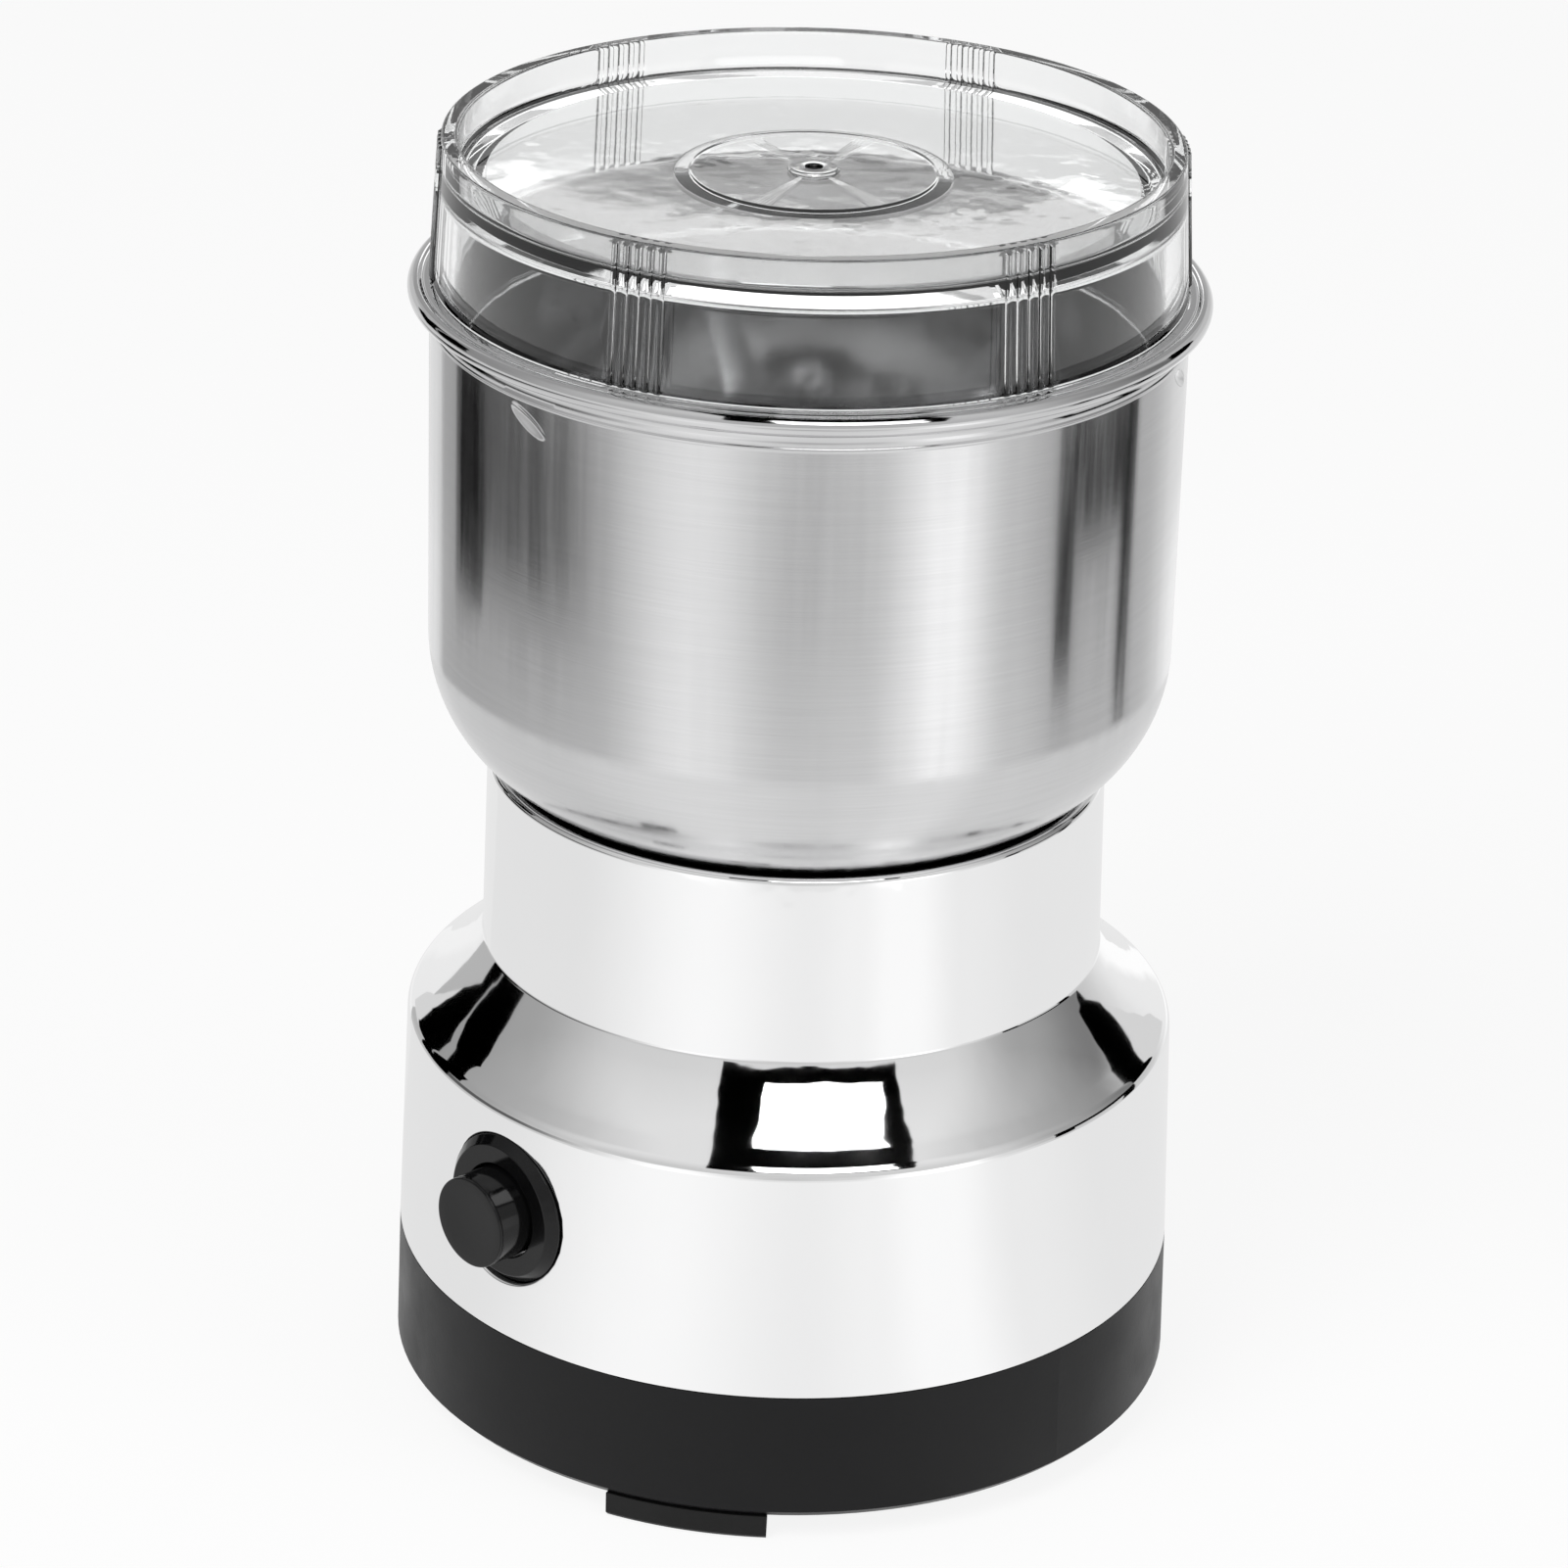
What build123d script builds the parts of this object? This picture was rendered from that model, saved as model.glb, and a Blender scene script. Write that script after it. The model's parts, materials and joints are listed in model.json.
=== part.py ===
"""Electric spice grinder with a lift-out bowl.

Origin on the standing plane, on the axis of the motor. +Z is up and the push
button faces -Y. All sizes are in millimetres.
"""

import os
from math import cos, radians, sin

from build123d import *

os.makedirs("parts", exist_ok=True)

# --- Outer shape, from the standing plane up --------------------------------
foot_height = 3.5
base_height = 17.8
drum_height = 32.1
shoulder_height = 11.0
neck_height = 25.6
bowl_sink = 2.5  # the bowl's underside lies this far below the neck's top
bowl_height = 68.7
lid_height = 18.8

neck_foot_radius = 41.4  # the drum, the base, the seat, the bowl and the lid follow from it
neck_draft = 0.5  # how much narrower the neck is at its top
shoulder_reach = 10.0  # from the neck's foot out to the drum's top edge
drum_draft = 1.0
base_draft = 0.35
bowl_overhang = 7.9  # from the neck's top out to the bowl's wall
shoulder_hollow = 0.8  # how far the shoulder dips below a straight cone
drum_edge_fillet = 2.6
neck_foot_fillet = 1.2
neck_lip_fillet = 1.1
housing_wall = 2.2
neck_wall = 1.6

# --- Base cover, feet and their screws --------------------------------------
base_wall = 2.2
base_floor = 2.5
floor_recess = 1.5  # the floor stands back from the ring that carries the feet
ring_margin = 1.2  # from the feet in to the inner edge of the ring that carries them
base_edge_chamfer = 1.0
spigot_height = 4.7
spigot_wall = 1.95
fit_gap = 0.25  # loose fit between mouldings
shaft_gap = 0.1  # round bolts and other pieces that only just clear their holes
foot_inset = 0.45  # from the base's outer edge in to the feet
foot_width = 6.1
foot_angle = 24.0
foot_edge_chamfer = 0.6
foot_peg_radius = 1.4
foot_peg_height = 2.6
foot_peg_spread = 8.0  # degrees from the middle of the foot to each peg
post_radius = 3.5
post_start = 2.0  # the housing's screw posts start this far above the seam
tower_wall = 1.5
tower_overlap = 0.8  # how far the screw towers run into the cover's wall
base_screw_radius = 1.6
base_screw_length = 17.0
base_screw_grip = 10.0  # how far the screws run into the housing's posts
screw_head_radius = 3.1
screw_head_height = 2.2
screw_recess_length = 3.6
screw_recess_width = 0.9
head_gap = 0.7
vent_count = 16
vent_length = 12.0
vent_width = 2.4
vent_margin = 11.0  # from the vents' outer ends out to the ring that carries the feet
fixing_count = 3  # feet, base screws, seat screws and keys, each evenly spaced
feet_start = 62.0
screws_start = 0.0
seat_screws_start = 30.0

# --- Gland of the mains lead -------------------------------------------------
cord_bore_radius = 3.1
grommet_wall = 1.5
grommet_flange = 1.8
grommet_flange_thickness = 1.6
cord_pad_radius = 8.0
cord_pad_margin = 2.75  # how far the pad stands in from the cover's inner wall
cord_pad_recess = 1.5

# --- Bowl ---------------------------------------------------------------------
bowl_wall = 1.0
bowl_corner_radius = 20.0
rim_reach = 2.8  # from the bowl's wall out to the rim's edge
rim_roll_radius = 1.25
rim_inner_chamfer = 0.3
rim_groove_depth = 0.3
rim_groove_width = 0.7
rim_groove_inset = 1.9  # from the rim's outer edge to the middle of the groove
wall_bead_drop = 5.0  # from the rim's top to the bead on the wall
wall_bead_height = 0.3
dimple_drop = 8.2  # from the rim's top to the middle of each dimple
dimple_radius = 2.1
dimple_depth = 0.6
dimples_start = 32.0

# --- Collar, hub and seat ------------------------------------------------------
collar_depth = 15.0
collar_plate = 2.5
collar_wall = 2.0
key_reach = 5.0
key_width = 4.0
key_gap = 0.4
key_end_gap = 3.45  # from the keys out to the seat's wall
key_rib_width = 2.0
seat_wall = 2.0
seat_floor = 2.5
seat_drop = 1.3  # the seat's edge lies this far below the neck's top
seat_boss_radius = 3.2
seat_boss_height = 6.0
seat_boss_overlap = 0.8  # how far the screw bosses run into the seat's wall
seat_boss_top = 1.0  # what closes the screw holes of the bosses
shelf_thickness = 2.2
shelf_margin = 3.15  # from the seat screws in to the shelf's inner edge
seat_screw_radius = 1.4
seat_screw_length = 8.0
hub_stem_radius = 8.0
hub_flange_radius = 13.0
hub_flange_thickness = 1.7
hub_top_radius = 6.6
hub_height = 7.6  # above the bowl's floor
hub_nut_height = 3.4
hub_nut_across_flats = 22.0
bushing_wall = 1.6
bushing_length = 5.0
bushing_inset = 0.4
seal_thickness = 1.2
seal_lip = 0.9

# --- Spindle and blades ----------------------------------------------------------
spindle_radius = 3.0
running_gap = 0.03
shoulder_thickness = 0.7
blade_thickness = 1.5
spindle_thread_radius = 2.5
spindle_thread_length = 3.2  # above the washer
blade_radius = 36.0
blade_root_width = 11.0
blade_tip_width = 5.0
blade_flat_radius = 10.0  # where the wings start to bend
upper_blade_bend_angle = 24.0
lower_blade_bend_angle = 11.0
upper_blade_start_angle = 20.0
lower_blade_start_angle = 110.0
blade_spacer_height = 1.4
blade_spacer_radius = 5.0
washer_radius = 5.2
washer_thickness = 0.8
blade_nut_across_flats = 8.0
blade_nut_height = 4.6
blade_nut_dome = 1.8  # height of the domed end
blade_nut_dome_shrink = 1.1  # how far the dome's middle lies inside the flats

# --- Couplings between motor and spindle --------------------------------------------
coupling_radius = 10.5
coupling_hub_radius = 5.0
coupling_disc = 1.8
coupling_gap = 0.4
floor_gap = 0.7
dog_count = 3
dog_angle = 50.0
dog_inner_radius = 5.4

# --- Motor ------------------------------------------------------------------------------
shaft_radius = 2.5
bearing_radius = 6.0
bearing_length = 5.0
bearing_boss_wall = 2.0
bearing_inset = 1.0  # how far the bearings lie inside their bosses
lower_bearing_reach = 2.5  # how far the lower bearing stands out below its bracket
bracket_thickness = 3.0
bracket_radius = 13.0
mount_thickness = 3.0
mount_radius = 4.4
mount_boss_gap = 1.4  # from the mounting screws' bosses out to the collar
mount_screw_radius = 1.5
motor_screw_reach = 7.0
fan_radius = 23.0
fan_height = 5.5
fan_disc = 1.2
fan_blade_count = 12
fan_blade_thickness = 1.0
fan_hub_radius = 6.0
fan_blade_margin = 3.0
fan_blade_sweep = 25.0
turning_gap = 1.0  # between pieces that turn and the ones above or below them
end_turn_height = 5.0
end_turn_inset = 1.0
end_turn_slope = 1.0
stator_radius = 28.0
stator_flat_depth = 2.5
yoke_wall = 3.6
coil_depth = 3.4  # from the field coils' inside to their outside
pole_shoe_thickness = 2.7
pole_half_width = 9.0
pole_shoe_angle = 62.0
coil_angle = 58.0
bolt_inset = 0.5  # from the stack's outer edge in to the long bolts
bolt_radius = 1.75
bolt_head_radius = 3.0
ear_radius = 3.2
coil_gap = 0.4
air_gap = 0.6
slot_count = 10
slot_width = 2.2
slot_depth = 6.5
winding_gap = 0.1
winding_wall = 1.5
commutator_radius = 9.0
commutator_height = 8.0
commutator_slot = 0.5
commutator_slot_depth = 0.8
commutator_gap = 1.5  # above the lower bracket, and from the bars out to the brush holders
brush_width = 6.0
brush_height = 5.0
brush_length = 7.0
brush_wall = 1.0
brush_gap = 0.1
brush_spring_strip = 0.3
brush_spring_width = 3.0
brush_spring_folds = 6
cup_thickness = 2.0
cup_wall = 1.6
post_wall = 2.0
post_height = 3.0

# --- Push button and switch ------------------------------------------------------------------
button_height = 39.4
bezel_radius = 10.2
bezel_recess = 1.5  # from the drum's top radius in to the flat that the bezel sits on
bezel_depth = 2.5  # from that flat to the bezel's front
bezel_bevel_width = 1.15
bezel_bevel_depth = 1.2
bezel_tube_radius = 8.9
bezel_tube_length = 7.0
cap_radius = 6.15
cap_reach = 5.1  # how far the cap stands out of the bezel
cap_wall = 1.8
cap_flange = 1.2
cap_flange_thickness = 1.5
cap_depth = 4.0  # from the bezel's flat in to the cap's inner end
cap_gap = 0.3
cap_edge_fillet = 0.4
cap_line_inset = 0.8
cap_line_depth = 0.15
button_travel = 3.5
spring_wire_radius = 0.35
spring_turns = 4
spring_radius = 3.4
stem_radius = 2.0
stem_depth = 5.5  # from the bezel's flat in to the stem's end
plunger_radius = 1.8
plunger_length = 6.0
switch_depth = 9.0  # from the bezel's flat in to the switch's front
switch_length = 8.0
switch_width = 12.0
switch_height = 13.0
carrier_thickness = 2.0
carrier_half_width = 17.0
carrier_height = 20.0
carrier_window_gap = 0.2
pillar_radius = 2.8
pillar_spread = 14.0
pillar_depth = 12.0  # from the bezel's flat in to the end of the carrier's pillars
pad_radius = 12.0
pad_depth = 3.0
switch_corner_fillet = 1.0
carrier_corner_fillet = 2.5
switch_screw_radius = 1.1
switch_screw_length = 6.0
terminal_width = 2.8
terminal_thickness = 0.8
terminal_length = 7.0
terminal_spread = 3.6
terminal_gap = 0.8

# --- Lid ------------------------------------------------------------------------------------------
lid_inset = 0.35  # from the bowl's wall in to the lid's foot
lid_draft = 1.1
lid_wall = 2.2
lid_edge_chamfer = 0.4
lid_gap = 0.3  # between the lid's skirt and the bowl
skirt_depth = 10.5
skirt_wall = 1.8
dish_depth = 4.8
dish_floor = 1.8
dish_corner_fillet = 1.2
disc_radius = 16.3
disc_height = 0.9
disc_edge_chamfer = 0.45
gate_radius = 3.1
gate_height = 1.1
gate_hole_radius = 1.1
gate_hole_depth = 1.8
rib_groups = 6
ribs_in_group = 5
rib_pitch = 1.95  # degrees
rib_angle = 1.1
rib_height = 0.45
rib_inset = 0.6  # the ribs stop this far from the lid's foot and top edge
ribs_start = 49.0
skirt_notch_gap = 0.6

# --- Levels that follow from the sizes above -------------------------------------------------------
base_bottom = foot_height
base_top = base_bottom + base_height
shoulder_level = base_top + drum_height
neck_level = shoulder_level + shoulder_height
neck_top = neck_level + neck_height
bowl_bottom = neck_top - bowl_sink
bowl_floor = bowl_bottom + bowl_wall
rim_top = bowl_bottom + bowl_height
lid_top = rim_top + lid_height
floor_bottom = base_bottom + floor_recess
floor_top = floor_bottom + base_floor

neck_top_radius = neck_foot_radius - neck_draft
drum_top_radius = neck_foot_radius + shoulder_reach
base_top_radius = drum_top_radius + drum_draft
base_radius = base_top_radius + base_draft
bowl_radius = neck_top_radius + bowl_overhang
rim_radius = bowl_radius + rim_reach
lid_foot_radius = bowl_radius - lid_inset
lid_top_radius = lid_foot_radius - lid_draft

foot_outer_radius = base_radius - foot_inset
foot_inner_radius = foot_outer_radius - foot_width
foot_middle_radius = (foot_inner_radius + foot_outer_radius) / 2
ring_inner_radius = foot_inner_radius - ring_margin
vent_circle_radius = ring_inner_radius - vent_margin - vent_length / 2
spigot_radius = base_top_radius - housing_wall - fit_gap
base_inner_radius = spigot_radius - spigot_wall
tower_radius = screw_head_radius + head_gap + tower_wall
screw_circle_radius = base_inner_radius - tower_radius + tower_overlap
screw_seat = base_top + post_start
screw_head_level = screw_seat + base_screw_grip - base_screw_length

seat_level = bowl_bottom - collar_depth
seat_bottom = seat_level - seat_floor
neck_inner_radius = neck_foot_radius - neck_wall
seat_radius = neck_top_radius - neck_wall - fit_gap
seat_inner_radius = seat_radius - seat_wall
seat_screw_circle = seat_inner_radius + seat_boss_overlap - seat_boss_radius
shelf_inner_radius = seat_screw_circle - shelf_margin
collar_radius = seat_inner_radius - key_end_gap - key_reach
rib_inner_radius = collar_radius + key_reach / 2
rib_outer_radius = seat_inner_radius + seat_wall / 2
rib_offset = key_width / 2 + key_gap + key_rib_width / 2
mount_screw_circle = collar_radius - collar_wall - mount_boss_gap - seat_boss_radius

hub_bottom = bowl_bottom - collar_plate - hub_nut_height
hub_top = bowl_floor + hub_height
drive_disc_bottom = seat_level + floor_gap
driven_disc_top = hub_bottom - turning_gap
dog_height = driven_disc_top - drive_disc_bottom - 2 * coupling_disc - coupling_gap
spindle_bottom = drive_disc_bottom + coupling_disc + coupling_gap

bracket_top = seat_bottom - mount_thickness
upper_bearing_top = bracket_top - bearing_inset
upper_boss_bottom = upper_bearing_top - bearing_length - bearing_inset
fan_top = upper_boss_bottom - turning_gap
fan_bottom = fan_top - fan_height
stack_top = fan_bottom - turning_gap - end_turn_height
lower_boss_bottom = floor_top + cup_thickness
lower_bearing_bottom = lower_boss_bottom + bearing_inset
lower_bracket_bottom = lower_bearing_bottom + lower_bearing_reach
lower_bracket_top = lower_bracket_bottom + bracket_thickness
commutator_bottom = lower_bracket_top + commutator_gap
commutator_top = commutator_bottom + commutator_height
stack_bottom = commutator_top + coil_gap + end_turn_height
stack_height = stack_top - stack_bottom
boss_radius = bearing_radius + bearing_boss_wall
bushing_radius = spindle_radius + bushing_wall
stator_flat = stator_radius - stator_flat_depth
yoke_radius = stator_radius - yoke_wall
coil_outer_radius = yoke_radius - coil_gap
coil_inner_radius = coil_outer_radius - coil_depth
pole_shoe_radius = coil_inner_radius - coil_gap
bore_radius = pole_shoe_radius - pole_shoe_thickness
bolt_circle = stator_radius - bolt_inset
holder_start = commutator_radius + commutator_gap
brush_holder_end = coil_outer_radius

lower_blade_level = hub_top + seal_thickness + turning_gap
upper_blade_level = lower_blade_level + blade_thickness + blade_spacer_height
washer_level = upper_blade_level + blade_thickness
nut_level = washer_level + washer_thickness

bezel_seat = drum_top_radius - bezel_recess
bezel_face = bezel_seat + bezel_depth
bezel_tube_end = bezel_seat - bezel_tube_length
cap_front = bezel_face + cap_reach
cap_end = bezel_seat - cap_depth
cap_flange_front = cap_end + cap_flange_thickness
plunger_front = bezel_seat - stem_depth
switch_front = bezel_seat - switch_depth
pillar_end = bezel_seat - pillar_depth

rim_cove = rim_radius - rim_roll_radius - bowl_radius
dimple_ball = (dimple_radius**2 + dimple_depth**2) / (2 * dimple_depth)
dimple_centre = bowl_radius - dimple_depth + dimple_ball
dimple_places = [
    (
        dimple_centre * cos(radians(dimples_start + 360 / fixing_count * number)),
        dimple_centre * sin(radians(dimples_start + 360 / fixing_count * number)),
        rim_top - dimple_drop,
    )
    for number in range(fixing_count)
]
skirt_radius = bowl_radius - bowl_wall - lid_gap
notch_width = 2 * dimple_radius + 2 * skirt_notch_gap


def button_plane(distance):
    """Plane square to the button's axis, this far from the grinder's axis."""
    return Plane(origin=(0, -distance, button_height), x_dir=(1, 0, 0), z_dir=(0, -1, 0))


def corner(sketch, across, up):
    """The sketch's corner nearest to a place in the sketch's own plane."""
    return sketch.vertices().sort_by_distance((across, up, 0))[0]


def finish(part, name):
    """Name a finished piece and write it."""
    part.label = name
    export_step(part, f"parts/{name}.step")


button_axis = Axis((0, 0, button_height), (0, 1, 0))
button_level = Plane.XY.offset(button_height)
cord_height = floor_top + cord_bore_radius + grommet_wall + grommet_flange / 2 + fit_gap
cord_axis = Axis((0, 0, cord_height), (0, 1, 0))
cord_level = Plane.XY.offset(cord_height)


def cord_plane(distance):
    """Plane square to the cord's axis, facing the rear, this far from the grinder's axis."""
    return Plane(origin=(0, distance, cord_height), x_dir=(-1, 0, 0), z_dir=(0, 1, 0))


# =============================== Base ==========================================

# Base cover: cup with a floor, a spigot into the housing, screw towers and vents.
cord_face = base_radius - cord_pad_recess
cord_pad_depth = cord_face - base_inner_radius + cord_pad_margin

with BuildPart() as base_cover:
    with BuildSketch(Plane.XZ) as cover_section:
        with BuildLine():
            Polyline(
                (0, floor_bottom),
                (ring_inner_radius, floor_bottom),
                (ring_inner_radius, base_bottom),
                (base_radius, base_bottom),
                (base_top_radius, base_top),
                (spigot_radius, base_top),
                (spigot_radius, base_top + spigot_height),
                (base_inner_radius, base_top + spigot_height),
                (base_inner_radius, floor_top),
                (0, floor_top),
                close=True,
            )
        make_face()
        chamfer(corner(cover_section, base_radius, base_bottom), base_edge_chamfer)
    revolve(axis=Axis.Z)
    with BuildSketch(Plane.XY.offset(floor_top)):
        with PolarLocations(screw_circle_radius, fixing_count, screws_start):
            Circle(tower_radius)
    extrude(amount=screw_seat - floor_top)
    with BuildSketch(Plane.XY.offset(floor_top)):
        Circle(boss_radius + cup_wall + fit_gap + post_wall)
        Circle(boss_radius + cup_wall + fit_gap, mode=Mode.SUBTRACT)
    extrude(amount=post_height)
    with BuildSketch(cord_plane(cord_face - cord_pad_depth)):
        Circle(cord_pad_radius)
    extrude(amount=cord_pad_depth)
    with BuildSketch(Plane.XY.offset(base_bottom)):
        with PolarLocations(screw_circle_radius, fixing_count, screws_start):
            Circle(screw_head_radius + head_gap)
    extrude(amount=screw_head_level - base_bottom, mode=Mode.SUBTRACT)
    with BuildSketch(Plane.XY.offset(base_bottom)):
        with PolarLocations(screw_circle_radius, fixing_count, screws_start):
            Circle(base_screw_radius + fit_gap)
    extrude(amount=screw_seat - base_bottom, mode=Mode.SUBTRACT)
    with BuildSketch(Plane.XY.offset(floor_bottom)):
        with PolarLocations(vent_circle_radius, vent_count):
            Rectangle(vent_length, vent_width)
    extrude(amount=base_floor, mode=Mode.SUBTRACT)
    for foot_side in (-foot_peg_spread, foot_peg_spread):
        with BuildSketch(Plane.XY.offset(base_bottom)):
            with PolarLocations(foot_middle_radius, fixing_count, feet_start + foot_side):
                Circle(foot_peg_radius)
        extrude(amount=foot_peg_height, mode=Mode.SUBTRACT)
    with BuildSketch(cord_plane(cord_face)):
        Circle(cord_bore_radius + grommet_wall + grommet_flange + fit_gap)
    extrude(amount=base_radius, mode=Mode.SUBTRACT)
    with BuildSketch(cord_plane(cord_face - cord_pad_depth)):
        Circle(cord_bore_radius + grommet_wall)
    extrude(amount=cord_pad_depth, mode=Mode.SUBTRACT)
finish(base_cover.part, "base_cover")

# Feet: arc-shaped pads with two pegs each.
for foot_number in range(fixing_count):
    foot_direction = feet_start + foot_number * 360 / fixing_count
    with BuildPart() as foot:
        with BuildSketch(Plane.XZ.rotated((0, 0, foot_direction - foot_angle / 2))) as foot_section:
            with Locations((foot_middle_radius, foot_height / 2)):
                Rectangle(foot_width, foot_height)
            chamfer(foot_section.vertices().group_by(Axis.Y)[0], foot_edge_chamfer)
        revolve(axis=Axis.Z, revolution_arc=foot_angle)
        for foot_side in (-foot_peg_spread, foot_peg_spread):
            with BuildSketch(Plane.XY.offset(base_bottom)):
                with PolarLocations(foot_middle_radius, 1, foot_direction + foot_side):
                    Circle(foot_peg_radius)
            extrude(amount=foot_peg_height)
    finish(foot.part, f"foot_{foot_number + 1}")

# Screws of the base cover: pan heads below, shanks up into the housing's posts.
with BuildPart() as base_screws:
    with BuildSketch(Plane.XY.offset(screw_head_level)):
        with PolarLocations(screw_circle_radius, fixing_count, screws_start):
            Circle(base_screw_radius)
    extrude(amount=base_screw_length)
    with BuildSketch(Plane.XY.offset(screw_head_level)):
        with PolarLocations(screw_circle_radius, fixing_count, screws_start):
            Circle(screw_head_radius)
    extrude(amount=-screw_head_height)
    with BuildSketch(Plane.XY.offset(screw_head_level - screw_head_height)):
        with PolarLocations(screw_circle_radius, fixing_count, screws_start):
            Rectangle(screw_recess_length, screw_recess_width)
            Rectangle(screw_recess_width, screw_recess_length)
    extrude(amount=screw_head_height / 2, mode=Mode.SUBTRACT)
finish(base_screws.part, "base_screws")

# Grommet of the mains lead: rubber ring with an outer and an inner flange.
with BuildPart() as cord_grommet:
    with BuildSketch(cord_level) as grommet_section:
        flange_edge = cord_bore_radius + grommet_wall + grommet_flange
        flange_front = cord_face + grommet_flange_thickness
        pad_back = cord_face - cord_pad_depth
        with BuildLine():
            Polyline(
                (cord_bore_radius, pad_back - grommet_flange_thickness),
                (flange_edge - grommet_flange / 2, pad_back - grommet_flange_thickness),
                (flange_edge - grommet_flange / 2, pad_back),
                (cord_bore_radius + grommet_wall, pad_back),
                (cord_bore_radius + grommet_wall, cord_face),
                (flange_edge, cord_face),
                (flange_edge, flange_front),
                (cord_bore_radius, flange_front),
                close=True,
            )
        make_face()
        chamfer(corner(grommet_section, flange_edge, flange_front), grommet_flange_thickness / 2)
    revolve(axis=cord_axis)
finish(cord_grommet.part, "cord_grommet")

# ============================== Housing =========================================

# Chrome housing: one plated moulding of drum, hollow shoulder and neck, with a shelf
# for the seat, three posts for the base screws and a flat pad for the button.
with BuildPart() as chrome_housing:
    with BuildSketch(Plane.XZ) as housing_section:
        with BuildLine():
            drum_side = Line((base_top_radius, base_top), (drum_top_radius, shoulder_level))
            shoulder = SagittaArc(drum_side @ 1, (neck_foot_radius, neck_level), -shoulder_hollow)
            Polyline(
                shoulder @ 1,
                (neck_top_radius, neck_top),
                (seat_radius + fit_gap, neck_top),
                (neck_inner_radius, neck_level),
                (neck_inner_radius, seat_bottom),
                (shelf_inner_radius, seat_bottom),
                (shelf_inner_radius, seat_bottom - shelf_thickness),
                (neck_inner_radius, seat_bottom - shelf_thickness),
                (neck_inner_radius, neck_level - housing_wall),
                (drum_top_radius - housing_wall, shoulder_level - housing_wall),
                (base_top_radius - housing_wall, base_top),
                drum_side @ 0,
            )
        make_face()
        fillet(corner(housing_section, drum_top_radius, shoulder_level), drum_edge_fillet)
        fillet(corner(housing_section, neck_foot_radius, neck_level), neck_foot_fillet)
        fillet(corner(housing_section, neck_top_radius, neck_top), neck_lip_fillet)
    revolve(axis=Axis.Z)
    with BuildSketch(Plane.XY.offset(screw_seat)):
        with PolarLocations(screw_circle_radius, fixing_count, screws_start):
            Circle(post_radius)
    extrude(until=Until.NEXT)
    with BuildSketch(button_plane(bezel_seat - pad_depth)):
        Circle(pad_radius)
    extrude(until=Until.NEXT)
    with BuildSketch(button_plane(pillar_end)):
        with GridLocations(2 * pillar_spread, 0, 2, 1):
            Circle(pillar_radius)
    extrude(until=Until.NEXT)
    with BuildSketch(Plane.XY.offset(screw_seat)):
        with PolarLocations(screw_circle_radius, fixing_count, screws_start):
            Circle(base_screw_radius)
    extrude(amount=base_screw_grip + head_gap, mode=Mode.SUBTRACT)
    with BuildSketch(Plane.XY.offset(seat_bottom - shelf_thickness)):
        with PolarLocations(seat_screw_circle, fixing_count, seat_screws_start):
            Circle(seat_screw_radius + shaft_gap)
    extrude(amount=shelf_thickness, mode=Mode.SUBTRACT)
    with BuildSketch(button_plane(bezel_seat)):
        Circle(bezel_radius + shaft_gap)
    extrude(amount=cap_front - bezel_seat, mode=Mode.SUBTRACT)
    with BuildSketch(button_plane(bezel_seat - pad_depth)):
        Circle(bezel_tube_radius + shaft_gap)
    extrude(amount=pad_depth, mode=Mode.SUBTRACT)
    with BuildSketch(button_plane(pillar_end)):
        with GridLocations(2 * pillar_spread, 0, 2, 1):
            Circle(switch_screw_radius)
    extrude(amount=switch_screw_length, mode=Mode.SUBTRACT)
finish(chrome_housing.part, "chrome_housing")

# Bowl seat: cup in the neck, with pairs of ribs for the bowl's keys, bosses for its own
# screws at the wall and bosses for the motor's screws on the floor.
with BuildPart() as bowl_seat:
    with BuildSketch(Plane.XZ):
        with BuildLine():
            Polyline(
                (coupling_hub_radius + turning_gap, seat_bottom),
                (seat_radius, seat_bottom),
                (seat_radius, neck_top - seat_drop),
                (seat_inner_radius, neck_top - seat_drop),
                (seat_inner_radius, seat_level),
                (coupling_hub_radius + turning_gap, seat_level),
                close=True,
            )
        make_face()
    revolve(axis=Axis.Z)
    with BuildSketch(Plane.XY.offset(seat_level)):
        with PolarLocations(seat_screw_circle, fixing_count, seat_screws_start):
            Circle(seat_boss_radius)
        with PolarLocations(mount_screw_circle, 2, 90):
            Circle(seat_boss_radius)
    extrude(amount=seat_boss_height)
    with BuildSketch(Plane.XY.offset(seat_level)):
        for rib_side in (-1, 1):
            with PolarLocations(0, fixing_count, screws_start):
                with Locations(((rib_inner_radius + rib_outer_radius) / 2, rib_side * rib_offset)):
                    Rectangle(rib_outer_radius - rib_inner_radius, key_rib_width)
    extrude(amount=collar_depth - collar_plate)
    with BuildSketch(Plane.XY.offset(seat_bottom)):
        with PolarLocations(seat_screw_circle, fixing_count, seat_screws_start):
            Circle(seat_screw_radius)
        with PolarLocations(mount_screw_circle, 2, 90):
            Circle(mount_screw_radius)
    extrude(amount=seat_floor + seat_boss_height - seat_boss_top, mode=Mode.SUBTRACT)
finish(bowl_seat.part, "bowl_seat")

# Seat screws: up through the shelf into the seat.
with BuildPart() as seat_screws:
    with BuildSketch(Plane.XY.offset(seat_bottom - shelf_thickness)):
        with PolarLocations(seat_screw_circle, fixing_count, seat_screws_start):
            Circle(seat_screw_radius)
    extrude(amount=seat_screw_length)
    with BuildSketch(Plane.XY.offset(seat_bottom - shelf_thickness)):
        with PolarLocations(seat_screw_circle, fixing_count, seat_screws_start):
            Circle(2 * seat_screw_radius)
    extrude(amount=-seat_screw_radius)
finish(seat_screws.part, "seat_screws")

# =============================== Bowl ============================================

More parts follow.
